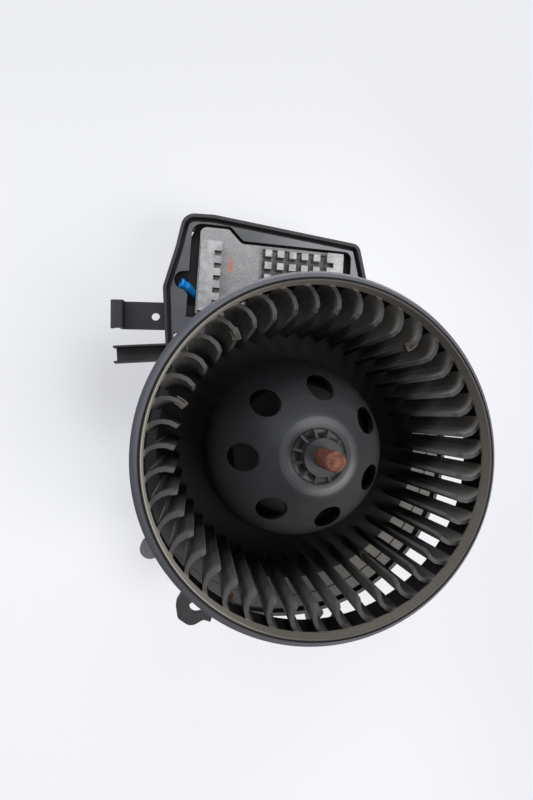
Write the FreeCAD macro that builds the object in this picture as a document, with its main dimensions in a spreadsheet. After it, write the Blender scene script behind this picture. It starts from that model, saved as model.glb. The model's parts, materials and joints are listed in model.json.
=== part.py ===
import FreeCAD, Part
import math
import os

import Sketcher

# A car cabin blower: a forward-curved wheel pressed on the shaft of a brushed motor, which hangs in a
# moulded flange that also frames the speed regulator and its heat sink.
# Millimetres. The origin is on the wheel's axis, in the plane where the flange's edge meets the
# heater case. +Z runs along the axis towards the wheel's open inlet.

SIZES = {
    # wheel
    "wheel_radius": 80.0,
    "wheel_height": 80.5,
    "wheel_lift": 10.5,
    "base_inset": 0.7,
    "base_thickness": 2.0,
    "rim_width": 4.6,
    "rim_flare_drop": 5.3,
    "rim_face_drop": 6.2,
    "rim_face_lean": 0.9,
    "rim_lip_width": 0.75,
    "rim_lip_drop": 0.25,
    "rim_groove_width": 0.7,
    "rim_groove_depth": 1.2,
    "band_height": 25.8,
    "band_draft": 1.65,
    "band_wall": 1.5,
    "blade_count": 43,
    "blade_thickness": 1.8,
    "blade_corner_run": 1.8,
    "blade_corner_drop": 2.4,
    "blade_reach": 13.5,
    "blade_tip_drop": 3.1,
    "blade_curve": 10.4,
    "blade_centre_in": 9.0,
    "blade_centre_across": 9.4,
    "blade_tip_angle": -115.4,
    "blade_sweep": 96.4,
    "blade_steps": 5,
    # hub
    "dome_wall": 2.2,
    "dome_foot_radius": 48.6,
    "dome_curve": 99.0,
    "dome_shoulder_radius": 17.5,
    "dome_shoulder_drop": 10.2,
    "dome_steps": 5,
    "foot_chamfer": 1.5,
    "crest_radius": 14.2,
    "crest_half_width": 1.7,
    "crest_rise": 1.3,
    "crest_fall": 0.5,
    "recess_depth": 4.2,
    "boss_radius": 8.2,
    "boss_drop": 1.6,
    "boss_length": 30.0,
    "hub_hole_count": 7,
    "hub_hole_radius": 6.6,
    "hub_hole_circle": 31.6,
    "hub_hole_angle": 131.5,
    "gusset_count": 11,
    "gusset_thickness": 1.2,
    "gusset_reach": 4.6,
    "gusset_rise": 3.0,
    # shaft and fits
    "shaft_radius": 4.2,
    "shaft_nose": 17.5,
    "shaft_chamfer": 0.7,
    "press_gap": 0.02,
    "running_gap": 0.05,
    "seat_gap": 0.05,
    "end_float": 0.3,
    # flange
    "flange_radius": 101.3,
    "edge_wall": 2.0,
    "edge_groove_width": 2.3,
    "edge_groove_depth": 5.0,
    "edge_depth": 7.4,
    "side_flatness": 9.5,
    "side_centre_x": 24.8,
    "side_centre_y": 8.0,
    "plate_drop": 1.5,
    "plate_thickness": 2.4,
    "bead_inset": 6.0,
    "bead_width": 1.0,
    "bead_height": 0.8,
    "collar_height": 6.5,
    "isolator_width": 4.4,
    "cup_wall": 2.5,
    "cup_depth": 48.0,
    "rib_count": 8,
    "rib_thickness": 1.6,
    "rib_height": 9.0,
    "rib_start": 182.0,
    "rib_span": 186.0,
    "lobe_radius": 6.0,
    "lobe_inset": 3.1,
    "lobe_angle": 216.7,
    "hook_angle": 241.0,
    "hook_spacing": 42.7,
    # regulator frame
    "frame_left": 72.0,
    "frame_right": 47.9,
    "frame_top": 136.5,
    "frame_foot_inset": 51.3,
    "frame_depth": 25.0,
    "frame_corner": 8.5,
    "frame_small_corner": 5.5,
    "sink_gap": 2.4,
    "opening_side_gap": 5.15,
    "notch_radius": 5.4,
    "notch_left": 60.1,
    "notch_up": 97.1,
    "slot_left": 66.0,
    "slot_up": 61.0,
    "slot_length": 4.5,
    "slot_width_up": 5.0,
    # brackets at the frame's left
    "tab_length": 29.5,
    "tab_width": 16.0,
    "tab_thickness": 2.2,
    "tab_drop": 4.0,
    "tab_lip_height": 5.0,
    "tab_lip_width": 7.5,
    "tab_hole_radius": 2.35,
    "tab_hole_left": 76.3,
    "tab_hole_up": 7.6,
    "tab_foot": 68.0,
    "channel_length": 30.0,
    "channel_width": 10.0,
    "channel_wall": 1.1,
    "channel_depth": 6.0,
    "channel_drop": 2.0,
    "channel_end_wall": 1.2,
    "channel_left": 99.6,
    "channel_foot": 47.9,
    "channel_turn": 3.6,
    # heat sink
    "sink_turn": -3.6,
    "sink_left": 58.3,
    "sink_right": 29.6,
    "sink_top": 117.6,
    "sink_crown": 125.4,
    "sink_foot": 74.0,
    "sink_thickness": 9.0,
    "pin_width": 4.0,
    "pin_height": 4.5,
    "pin_pitch": 7.3,
    "pin_columns": 5,
    "pin_rows": 5,
    "pin_start_across": 17.3,
    "pin_start_up": 112.4,
    "pin_field_depth": 1.0,
    "ridge_width": 12.0,
    "ridge_notch_length": 4.0,
    "ridge_notch_width": 3.0,
    "ridge_notch_count": 5,
    "end_block_width": 11.4,
    # regulator
    "screw_boss_radius": 3.4,
    "screw_boss_length": 5.1,
    "screw_radius": 1.5,
    "screw_head_radius": 3.0,
    "screw_head_height": 2.2,
    "skirt_thickness": 2.6,
    "trough_length": 9.9,
    "trough_width": 11.0,
    "trough_wall": 1.0,
    "trough_up": 80.1,
    "tray_depth": 18.0,
    "tray_wall": 1.8,
    "board_thickness": 1.6,
    "board_drop": 8.0,
    "socket_length": 26.0,
    "socket_width": 13.0,
    "socket_depth": 14.0,
    "socket_wall": 1.5,
    "socket_left": 20.0,
    "socket_up": 88.0,
    "terminal_width": 2.8,
    "terminal_thickness": 0.8,
    "terminal_pitch": 5.6,
    "terminal_inset": 3.2,
    "terminal_tail": 6.0,
    "terminal_count": 4,
    "transistor_width": 16.0,
    "transistor_height": 21.0,
    "transistor_thickness": 5.0,
    "transistor_up": 80.0,
    "transistor_left": -36.0,
    "transistor_right": 2.0,
    "fuse_left": -14.0,
    "fuse_up": 82.0,
    "fuse_width": 3.0,
    "fuse_length": 18.0,
    "fuse_thickness": 2.5,
    "sleeve_radius": 2.15,
    "sleeve_length": 11.0,
    "sleeve_wall": 0.8,
    "lead_back": 5.8,
    # motor
    "can_radius": 36.6,
    "can_wall": 1.6,
    "can_top": 38.0,
    "can_foot": 38.0,
    "bearing_radius": 8.0,
    "bearing_length": 10.0,
    "bearing_boss_wall": 1.5,
    "magnet_thickness": 6.4,
    "magnet_length": 46.0,
    "magnet_angle": 128.0,
    "air_gap": 0.6,
    "core_length": 36.0,
    "core_slots": 12,
    "slot_width": 3.0,
    "slot_depth": 9.0,
    "winding_height": 7.0,
    "commutator_radius": 11.5,
    "commutator_length": 15.0,
    "commutator_bars": 12,
    "card_thickness": 2.5,
    "brush_width": 6.0,
    "brush_length": 12.0,
    "isolator_height": 7.0,
    "cover_thickness": 2.4,
    "cover_lip": 6.0,
    "clip_wire": 0.6,
    "clip_gap": 0.3,
    "clip_height": 4.0,
    "clip_back_angle": -117.9,
    "clip_front_angle": -115.8,
    "clip_tail_angle": -92.0,
}

# Where the regulator's screws stand, in plan, under the frame's shelf.
SCREW_PLACES = ((-63.4, 80.0), (-22.5, 125.8), (45.0, 99.0))

# The blades that carry balance clips, and how far below the tips' tops each clip sits.
CLIP_PLACES = ((19, 2.4), (15, 2.6), (6, 2.6), (36, 42.0))

# Where the lead terminal's sleeve starts, and the way that it leans out of the notch.
SLEEVE_START = (-55.6, 89.4, -8.8)
SLEEVE_DIRECTION = (-0.62, 0.66, 0.42)

doc = FreeCAD.newDocument("cabin_blower_motor")
sheet = doc.addObject("Spreadsheet::Sheet", "sizes")
for row, (alias, amount) in enumerate(SIZES.items(), start=1):
    sheet.set(f"A{row}", alias)
    sheet.set(f"B{row}", str(amount))
    sheet.setAlias(f"B{row}", alias)
doc.recompute()


def number(item):
    """The plain value of a size or a number."""
    return item.value if isinstance(item, Size) else float(item)


def words(item):
    """The sheet expression of a size or a number."""
    return item.text if isinstance(item, Size) else repr(float(item))


class Size:
    """A value with the sheet expression that gives it, so that sums of sizes stay bound."""

    def __init__(self, value, text):
        self.value = value
        self.text = text

    def __add__(self, other):
        return Size(self.value + number(other), f"({self.text} + {words(other)})")

    __radd__ = __add__

    def __sub__(self, other):
        return Size(self.value - number(other), f"({self.text} - {words(other)})")

    def __rsub__(self, other):
        return Size(number(other) - self.value, f"({words(other)} - {self.text})")

    def __mul__(self, other):
        return Size(self.value * number(other), f"({self.text} * {words(other)})")

    __rmul__ = __mul__

    def __truediv__(self, other):
        return Size(self.value / number(other), f"({self.text} / {words(other)})")

    def __neg__(self):
        return Size(-self.value, f"(-1 * {self.text})")


class Sizes:
    """Gives each alias of the sheet as a Size."""

    def __getattr__(self, alias):
        return Size(float(sheet.get(alias)), f"sizes.{alias}")


size = Sizes()
mouth_radius = size.wheel_radius - size.rim_width
blade_tip_radius = mouth_radius - size.blade_reach
blade_centre_out = mouth_radius - size.blade_centre_in
base_radius = mouth_radius - size.base_inset
cup_radius = size.can_radius + size.isolator_width
side_radius = size.flange_radius + size.side_flatness
frame_foot = size.flange_radius - size.frame_foot_inset
nodes = {}


def bind(item, **values):
    """Binds each named property of an object to its size."""
    for key, value in values.items():
        if isinstance(value, Size):
            item.setExpression(key, value.text)
        else:
            setattr(item, key, value)
    return item


def place(item, x=0, y=0, z=0, turn=0, axis=(0, 0, 1)):
    """Sets an object's Placement, with each offset bound to its size."""
    rotation = FreeCAD.Rotation(FreeCAD.Vector(*axis), number(turn))
    item.Placement = FreeCAD.Placement(FreeCAD.Vector(number(x), number(y), number(z)), rotation)
    for key, value in zip("xyz", (x, y, z)):
        if isinstance(value, Size):
            item.setExpression(f"Placement.Base.{key}", value.text)
    return item


def keep(label, item):
    """Registers a finished piece under its own label."""
    item.Label = label
    nodes[label] = item
    return item


def new_body(name):
    """Starts the body of one piece."""
    return doc.addObject("PartDesign::Body", name)


def datum(body, role):
    """One of a body's own origin planes or axes."""
    return next(item for item in body.Origin.OriginFeatures if item.Role == role)


def arc_centre(start, end, radius, side):
    """The centre of an arc of a given radius through two points, on the left (1) or right (-1)."""
    half_x, half_y = (end[0] - start[0]) / 2, (end[1] - start[1]) / 2
    half = math.hypot(half_x, half_y)
    reach = math.sqrt(max(radius * radius - half * half, 0.0)) / half
    return start[0] + half_x - side * half_y * reach, start[1] + half_y + side * half_x * reach


def draw(body, name, loops, role="XZ_Plane", lift=0):
    """Draws closed loops on one of a body's planes.

    A loop is a list of corners (x, y) or (x, y, radius, side): the last two make the stretch to the
    next corner an arc whose centre lies on the left (1) or the right (-1) of the way there.
    A loop that is one tuple (x, y, radius) is a circle.
    """
    sketch = body.newObject("Sketcher::SketchObject", name)
    sketch.AttachmentSupport = (datum(body, role), [""])
    sketch.MapMode = "FlatFace"
    if isinstance(lift, Size) or lift:
        bind(sketch, **{"AttachmentOffset.Base.z": lift}) if isinstance(lift, Size) else setattr(
            sketch, "AttachmentOffset", FreeCAD.Placement(FreeCAD.Vector(0, 0, lift), FreeCAD.Rotation()))
    for loop in loops:
        if isinstance(loop, tuple):
            draw_circle(sketch, *loop)
        else:
            draw_loop(sketch, loop)
    return sketch


def pin_point(sketch, geometry, point, x, y):
    """Holds one point of a sketch at bound offsets from the sketch's origin."""
    for kind, value in (("DistanceX", x), ("DistanceY", y)):
        if abs(number(value)) < 1e-9 and not isinstance(value, Size):
            axis = -2 if kind == "DistanceX" else -1
            sketch.addConstraint(Sketcher.Constraint("PointOnObject", geometry, point, axis))
            continue
        index = sketch.addConstraint(Sketcher.Constraint(kind, -1, 1, geometry, point, number(value)))
        if isinstance(value, Size):
            sketch.setExpression(f"Constraints[{index}]", value.text)


def draw_circle(sketch, x, y, radius):
    """Adds a circle with its centre and radius bound."""
    centre = FreeCAD.Vector(number(x), number(y), 0)
    index = sketch.addGeometry(Part.Circle(centre, FreeCAD.Vector(0, 0, 1), number(radius)), False)
    pin_point(sketch, index, 3, x, y)
    held = sketch.addConstraint(Sketcher.Constraint("Radius", index, number(radius)))
    if isinstance(radius, Size):
        sketch.setExpression(f"Constraints[{held}]", radius.text)


def draw_loop(sketch, corners):
    """Adds a closed loop of lines and arcs with every corner and radius bound."""
    ends = []
    for corner, following in zip(corners, corners[1:] + corners[:1]):
        start = (number(corner[0]), number(corner[1]))
        end = (number(following[0]), number(following[1]))
        if len(corner) == 2:
            line = Part.LineSegment(FreeCAD.Vector(*start, 0), FreeCAD.Vector(*end, 0))
            ends.append((sketch.addGeometry(line, False), 1, 2))
            continue
        radius, side = corner[2], corner[3]
        middle = arc_centre(start, end, number(radius), side)
        angles = [math.atan2(point[1] - middle[1], point[0] - middle[0]) for point in (start, end)]
        if side < 0:
            angles.reverse()
        if angles[1] < angles[0]:
            angles[1] += 2 * math.pi
        circle = Part.Circle(FreeCAD.Vector(*middle, 0), FreeCAD.Vector(0, 0, 1), number(radius))
        index = sketch.addGeometry(Part.ArcOfCircle(circle, *angles), False)
        held = sketch.addConstraint(Sketcher.Constraint("Radius", index, number(radius)))
        if isinstance(radius, Size):
            sketch.setExpression(f"Constraints[{held}]", radius.text)
        ends.append((index, 1, 2) if side > 0 else (index, 2, 1))
    for (item, first, last), (after, next_first, next_last) in zip(ends, ends[1:] + ends[:1]):
        sketch.addConstraint(Sketcher.Constraint("Coincident", item, last, after, next_first))
    for (item, first, last), corner in zip(ends, corners):
        pin_point(sketch, item, first, corner[0], corner[1])


def unit(start, end):
    """The direction from one corner to the next, in plain numbers."""
    across, up = number(end[0]) - number(start[0]), number(end[1]) - number(start[1])
    length = math.hypot(across, up)
    return across / length, up / length


def inset(corners, distance):
    """Sharp corners, listed clockwise, moved inwards. Each may carry a rounding radius."""
    moved = []
    for before, corner, after in zip(corners[-1:] + corners[:-1], corners, corners[1:] + corners[:1]):
        (in_x, in_y), (out_x, out_y) = unit(before, corner), unit(corner, after)
        spread = 1 + in_x * out_x + in_y * out_y
        shift_x, shift_y = (in_y + out_y) / spread, -(in_x + out_x) / spread
        place_of = (corner[0] + distance * shift_x, corner[1] + distance * shift_y)
        if len(corner) == 3:
            turns_right = in_x * out_y - in_y * out_x < 0
            radius = corner[2] - distance if turns_right else corner[2] + distance
            moved.append((*place_of, radius) if number(radius) > 0.2 else place_of)
        else:
            moved.append(place_of)
    return moved


def rounded(corners):
    """Turns sharp corners that carry a radius into tangent arcs."""
    path = []
    for before, corner, after in zip(corners[-1:] + corners[:-1], corners, corners[1:] + corners[:1]):
        if len(corner) == 2:
            path.append(corner)
            continue
        (in_x, in_y), (out_x, out_y) = unit(before, corner), unit(corner, after)
        bend = math.atan2(in_x * out_y - in_y * out_x, in_x * out_x + in_y * out_y)
        reach = math.tan(abs(bend) / 2)
        x, y, radius = corner
        path.append((x - radius * (in_x * reach), y - radius * (in_y * reach), radius, 1 if bend > 0 else -1))
        path.append((x + radius * (out_x * reach), y + radius * (out_y * reach)))
    return path


def turn(body, name, corners, cut=False):
    """Turns a section (radius, height) once about the axis, adding or cutting."""
    sketch = draw(body, name + "_section", [corners])
    kind = "PartDesign::Groove" if cut else "PartDesign::Revolution"
    feature = body.newObject(kind, name)
    feature.Profile = sketch
    feature.ReferenceAxis = (sketch, ["V_Axis"])
    feature.Angle = 360
    body.Tip = feature
    return feature


def pad(body, name, loops, lift, height):
    """Raises loops drawn in plan from one height."""
    feature = body.newObject("PartDesign::Pad", name)
    feature.Profile = draw(body, name + "_plan", loops, "XY_Plane", lift)
    bind(feature, Length=height)
    body.Tip = feature
    return feature


def pocket(body, name, loops, lift, depth):
    """Cuts loops drawn in plan downwards from one height."""
    feature = body.newObject("PartDesign::Pocket", name)
    feature.Profile = draw(body, name + "_plan", loops, "XY_Plane", lift)
    bind(feature, Length=depth)
    body.Tip = feature
    return feature


def repeat_round(body, name, feature, count, angle=360):
    """Repeats a feature about the axis."""
    pattern = body.newObject("PartDesign::PolarPattern", name)
    pattern.Originals = [feature]
    pattern.Axis = (datum(body, "Z_Axis"), [""])
    pattern.Angle = number(angle)
    bind(pattern, Occurrences=count)
    body.Tip = pattern
    return pattern


def turned_piece(label, corners):
    """A whole piece that is one turned section."""
    body = new_body(label + "_body")
    turn(body, label + "_turned", corners)
    return keep(label, body)


def blade_point(radius, share):
    """A point on a blade's arc: 0 is its tip at the inlet's edge and 1 its outer end."""
    angle = math.radians(size.blade_tip_angle.value + share * size.blade_sweep.value)
    return (blade_centre_out + radius * math.cos(angle),
            size.blade_centre_across + radius * math.sin(angle))


def dome_points(inset, top, foot, steps):
    """The dome's profile from its foot up to its shoulder, on one arc, in a few straight steps."""
    start = (size.dome_foot_radius - inset, foot)
    end = (size.dome_shoulder_radius - inset, top)
    rise = math.hypot(number(end[0] - start[0]), number(end[1] - start[1]))
    lean = math.atan2(number(end[1] - start[1]), number(end[0] - start[0]))
    spread = 2 * math.asin(rise / 2 / number(size.dome_curve))
    points = [start]
    for step in range(1, steps):
        along = spread * (step / steps - 0.5)
        chord = number(size.dome_curve) * (math.sin(along) + math.sin(spread / 2))
        bulge = number(size.dome_curve) * (math.cos(along) - math.cos(spread / 2))
        points.append((start[0] + chord * math.cos(lean) + bulge * math.sin(lean),
                       start[1] + chord * math.sin(lean) - bulge * math.cos(lean)))
    return points + [end]


def build_impeller():
    """The wheel, one moulding: base disc, domed hub, blades and the band round the inlet."""
    top = size.wheel_lift + size.wheel_height
    base_top = size.wheel_lift + size.base_thickness
    shoulder = top - size.dome_shoulder_drop
    crest_inner = size.crest_radius - size.crest_half_width
    crest_side = shoulder + size.crest_rise - size.crest_fall
    boss_top = top - size.boss_drop
    bore = size.shaft_radius + size.press_gap
    wall = size.dome_wall
    body = new_body("impeller_body")

    turn(body, "hub", [
        (bore, boss_top),
        (bore, boss_top - size.boss_length),
        (size.boss_radius, boss_top - size.boss_length),
        (size.boss_radius, shoulder - size.recess_depth - wall),
        (crest_inner, shoulder - wall - 1),
        *reversed(dome_points(wall, shoulder - wall, size.wheel_lift, 3)),
        (base_radius, size.wheel_lift),
        (base_radius, base_top),
        (size.dome_foot_radius + size.foot_chamfer, base_top),
        *dome_points(0, shoulder, base_top + size.foot_chamfer, int(size.dome_steps.value)),
        (size.crest_radius + size.crest_half_width, crest_side),
        (size.crest_radius, shoulder + size.crest_rise),
        (crest_inner, crest_side),
        (size.boss_radius, shoulder - size.recess_depth),
        (size.boss_radius, boss_top),
    ])

    # A blade follows one arc in plan, in a few flats. Its outer end is buried in the band.
    half = size.blade_thickness / 2
    sides = []
    for radius in (size.blade_curve - half, size.blade_curve + half):
        sides.append([blade_point(radius, step / size.blade_steps.value)
                      for step in range(int(size.blade_steps.value) + 1)])
    blade = pad(body, "blade", [sides[0] + sides[1][::-1]], size.wheel_lift,
                size.wheel_height - size.blade_tip_drop)
    repeat_round(body, "blades", blade, size.blade_count)

    # The blades' top edges fall from the tips to the foot of the rim's inner face.
    turn(body, "blade_tops", [
        (blade_tip_radius - 2, top - size.blade_tip_drop + 1),
        (blade_tip_radius - 2, top - size.blade_tip_drop - size.blade_corner_drop),
        (blade_tip_radius, top - size.blade_tip_drop - size.blade_corner_drop),
        (blade_tip_radius + size.blade_corner_run, top - size.blade_tip_drop),
        (mouth_radius, top - size.rim_face_drop),
        (size.wheel_radius + 2, top - size.rim_face_drop),
        (size.wheel_radius + 2, top - size.blade_tip_drop + 1),
    ], cut=True)

    band_foot = size.wheel_radius - size.band_draft
    face_foot = mouth_radius - size.rim_face_lean
    turn(body, "rim", [
        (face_foot, top - size.rim_face_drop),
        (mouth_radius - size.rim_lip_width, top - size.rim_lip_drop),
        (mouth_radius, top),
        (mouth_radius + size.rim_groove_width / 2, top - size.rim_groove_depth),
        (mouth_radius + size.rim_groove_width, top - size.rim_lip_drop),
        (size.wheel_radius, top - size.rim_flare_drop),
        (band_foot, top - size.band_height),
        (band_foot - size.band_wall, top - size.band_height),
        (size.wheel_radius - size.band_wall, top - size.rim_face_drop - size.band_wall),
        (face_foot, top - size.rim_face_drop - size.band_wall / 2),
    ])

    # Thin gussets tie the boss to the crest round it.
    inner = size.boss_radius - 0.6
    gusset = body.newObject("PartDesign::Pad", "gusset")
    gusset.Profile = draw(body, "gusset_section", [[
        (inner, shoulder - size.recess_depth - 1),
        (size.boss_radius + size.gusset_reach + 1, shoulder - size.recess_depth - 1),
        (size.boss_radius + size.gusset_reach + 1, shoulder - 0.5),
        (size.boss_radius + size.gusset_reach, shoulder),
        (inner, shoulder + size.gusset_rise),
    ]])
    gusset.Midplane = True
    bind(gusset, Length=size.gusset_thickness)
    body.Tip = gusset
    repeat_round(body, "gussets", gusset, size.gusset_count)

    hole_angle = math.radians(size.hub_hole_angle.value)
    hole = pocket(body, "hub_hole", [
        (size.hub_hole_circle * math.cos(hole_angle), size.hub_hole_circle * math.sin(hole_angle),
         size.hub_hole_radius),
    ], top, size.wheel_height * 0.6)
    repeat_round(body, "hub_holes", hole, size.hub_hole_count)
    return keep("impeller", body)


def cylinder(name, radius, height, x=0, y=0, z=0):
    """A bound cylinder that stands on (x, y, z)."""
    item = bind(doc.addObject("Part::Cylinder", name), Radius=radius, Height=height)
    return place(item, x, y, z)


def box(name, length, width, height, x=0, y=0, z=0):
    """A bound box with its low corner at (x, y, z)."""
    item = bind(doc.addObject("Part::Box", name), Length=length, Width=width, Height=height)
    return place(item, x, y, z)


def fuse(name, items):
    """One solid of several."""
    item = doc.addObject("Part::MultiFuse", name)
    item.Shapes = items
    return item


def cut(name, base, tools):
    """One object less some others."""
    item = doc.addObject("Part::Cut", name)
    item.Base = base
    item.Tool = tools[0] if len(tools) == 1 else fuse(name + "_tools", tools)
    return item


def common(name, items):
    """What several objects share."""
    item = doc.addObject("Part::MultiCommon", name)
    item.Shapes = items
    return item


def group(name, items):
    """Several separate solids in one piece's file."""
    item = doc.addObject("Part::Compound", name)
    item.Links = items
    return item


def plan(name, loops):
    """Loops drawn in plan, for extrusions outside a body."""
    sketch = doc.addObject("Sketcher::SketchObject", name)
    for loop in loops:
        if isinstance(loop, tuple):
            draw_circle(sketch, *loop)
        else:
            draw_loop(sketch, loop)
    return sketch


def prism(name, corners, low, high):
    """A solid raised on a plan outline between two heights."""
    item = doc.addObject("Part::Extrusion", name)
    item.Base = plan(name + "_plan", [rounded(corners)])
    item.DirMode = "Custom"
    item.Dir = FreeCAD.Vector(0, 0, 1)
    item.Solid = True
    bind(item, LengthFwd=high - low)
    return place(item, z=low)


def frame_outline(inner):
    """The regulator frame's outline in plan, clockwise, closed on the motor's side at a given height."""
    left, right, top = -size.frame_left, size.frame_right, size.frame_top
    return [
        (left + 2, inner),
        (left, top - 44, 6.0),
        (left + 7.5, top - 19.5, 30.0),
        (left + 12.1, top, size.frame_corner),
        (left + 30, top - 0.3, 20.0),
        (right - 1.1, top - 14.3, size.frame_small_corner),
        (right + 7.1, top - 54.5),
        (right + 8, inner + 20),
    ]


def build_flange():
    """The flange, one moulding: grooved edge, motor cup, regulator frame, tab, guide, lobe and hook."""
    groove_in = size.flange_radius - size.edge_wall - size.edge_groove_width
    plate = -size.plate_drop
    under = plate - size.plate_thickness
    cup_out = cup_radius + size.cup_wall
    inner_wall = groove_in - size.edge_wall
    bead = groove_in - size.bead_inset
    body = new_body("flange_disc")
    turn(body, "disc", [
        (cup_radius, size.collar_height),
        (cup_radius, -size.cup_depth),
        (cup_out, -size.cup_depth),
        (cup_out, under),
        (inner_wall, under),
        (inner_wall, -size.edge_depth),
        (size.flange_radius, -size.edge_depth),
        (size.flange_radius, 0),
        (size.flange_radius - size.edge_wall, 0),
        (size.flange_radius - size.edge_wall, -size.edge_groove_depth),
        (groove_in, -size.edge_groove_depth),
        (groove_in, plate),
        (bead, plate),
        (bead, plate + size.bead_height),
        (bead - size.bead_width, plate + size.bead_height),
        (bead - size.bead_width, plate),
        (cup_out + 6, plate),
        (cup_out, size.collar_height),
    ])
    # Ribs stiffen the plate from below, round the side away from the regulator.
    half = size.rib_thickness / 2
    near, far = cup_radius + 1, inner_wall + 1
    start = math.radians(size.rib_start.value)
    corner = [(near, -half), (far, -half), (far, half), (near, half)]
    rib = pad(body, "rib", [[turned(x, y, start) for x, y in corner]], under - size.rib_height,
              size.rib_height + 0.5)
    repeat_round(body, "ribs", rib, size.rib_count, size.rib_span)

    outline = frame_outline(frame_foot)
    deep = frame_outline(frame_foot - 25)
    wall = inset(deep, size.edge_wall)
    lip = inset(deep, size.edge_wall + size.edge_groove_width)
    step = inset(deep, 2 * size.edge_wall + size.edge_groove_width)
    low = -size.frame_depth
    whole = prism("frame_whole", outline, low, 0)
    space = prism("frame_space", outline, low - 1, size.edge_wall + 1)
    edge = cut("frame_edge", whole, [prism("frame_inside", wall, low - 1, size.edge_wall)])
    floor = common("frame_groove", [whole, prism("frame_groove_block", wall, -size.edge_depth,
                                                 -size.edge_groove_depth)])
    shelf = common("frame_shelf_block", [whole, prism("frame_lip_block", lip, -size.edge_depth, plate)])
    tray = cut("frame_tray", fuse("frame_tray_block", [floor, shelf]),
               [prism("frame_under", step, -size.edge_depth - 1, under)])

    # The side towards the case's scroll is flatter: a wider circle about a shifted centre.
    side_edge = new_body("side_edge_body")
    side_in = side_radius - size.edge_wall - size.edge_groove_width
    turn(side_edge, "side_edge", [
        (side_in - size.edge_wall, -size.edge_depth),
        (side_radius, -size.edge_depth),
        (side_radius, 0),
        (side_radius - size.edge_wall, 0),
        (side_radius - size.edge_wall, -size.edge_groove_depth),
        (side_in, -size.edge_groove_depth),
        (side_in, plate),
        (side_in - size.edge_wall, plate),
    ])
    place(side_edge, size.side_centre_x, -size.side_centre_y)
    deepest = size.cup_depth + 1
    side_disc = cylinder("side_disc", side_in - size.edge_wall, deepest + size.collar_height + 1,
                         size.side_centre_x, -size.side_centre_y, -deepest)
    within = cylinder("disc_limit", size.flange_radius, size.edge_depth, z=-size.edge_depth)
    rounded_disc = fuse("disc_with_side", [common("disc_cut", [body, side_disc]),
                                           common("side_band", [side_edge, within])])
    trimmed = cut("disc_trimmed", rounded_disc, [space])

    wider = size.opening_side_gap - size.sink_gap
    opening = prism("sink_opening", inset(sink_outline(wider), -size.sink_gap), -size.edge_depth - 1,
                    size.edge_wall)
    opening.Placement.Rotation = FreeCAD.Rotation(FreeCAD.Vector(0, 0, 1), size.sink_turn.value)
    notch_x, notch_y, notch = -size.notch_left, size.notch_up, size.notch_radius
    notch_end = cylinder("notch_end", notch, size.edge_depth + 3, notch_x, notch_y, -size.edge_depth - 1)
    notch_mouth = prism("notch_mouth", [
        (notch_x, notch_y - notch), (notch_x, notch_y + notch), (notch_x + 10, notch_y + notch + 0.5),
        (notch_x + 10, notch_y - notch - 6), (notch_x + 3.4, notch_y - notch - 4.5, 2.0)],
        -size.edge_depth - 1, size.edge_wall)
    slot = box("shelf_slot", size.slot_length, size.slot_width_up, size.edge_depth + 3, -size.slot_left,
               size.slot_up, -size.edge_depth - 1)

    lobe_angle = math.radians(size.lobe_angle.value)
    lobe_out = size.flange_radius - size.lobe_inset
    lobe = cylinder("edge_lobe", size.lobe_radius, size.edge_depth - 1, lobe_out * math.cos(lobe_angle),
                    lobe_out * math.sin(lobe_angle), -size.edge_depth)
    hook = prism("hook_left", hook_outline(), -size.edge_depth, plate)
    far_hook = place(prism("hook_right", hook_outline(), -size.edge_depth, plate), z=-size.edge_depth,
                     turn=size.hook_spacing)
    bosses = [cylinder(f"screw_boss_{index}", size.screw_boss_radius, size.screw_boss_length, x, y,
                       under - size.screw_boss_length) for index, (x, y) in enumerate(SCREW_PLACES)]
    pilots = [cylinder(f"screw_pilot_{index}", size.screw_radius, size.screw_boss_length, x, y,
                       under - size.screw_boss_length - 0.01) for index, (x, y) in enumerate(SCREW_PLACES)]
    whole_flange = fuse("flange_whole", [trimmed, edge, tray, lobe, hook, far_hook, build_tab(),
                                          build_guide()] + bosses)
    holed = cut("flange_holed", whole_flange, [opening, notch_end, notch_mouth, slot] + pilots)
    return keep("mounting_flange", holed)


# The hook's outline, clockwise, from the point of the flange's edge that it grows from.
HOOK_OFFSETS = (
    (-0.9, 8.6), (-2.4, -2.0, 2.0), (-8.5, -2.6, 2.5), (-6.5, -10.0, 4.0), (-0.6, -8.8, 2.5),
    (2.5, -7.6, 1.2), (5.6, -11.0, 0.8), (4.5, -14.2), (0.5, -12.6, 2.5), (-6.9, -16.4, 6.0),
    (-14.3, -10.9, 4.0), (-15.5, -2.4, 5.0), (-7.9, 10.6),
)


def hook_outline():
    """The snap hook at the flange's edge, a strap bent back on itself."""
    angle = math.radians(size.hook_angle.value)
    edge_x, edge_y = size.flange_radius * math.cos(angle), size.flange_radius * math.sin(angle)
    return [(edge_x + x, edge_y + y, *corner) for x, y, *corner in HOOK_OFFSETS]


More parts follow.
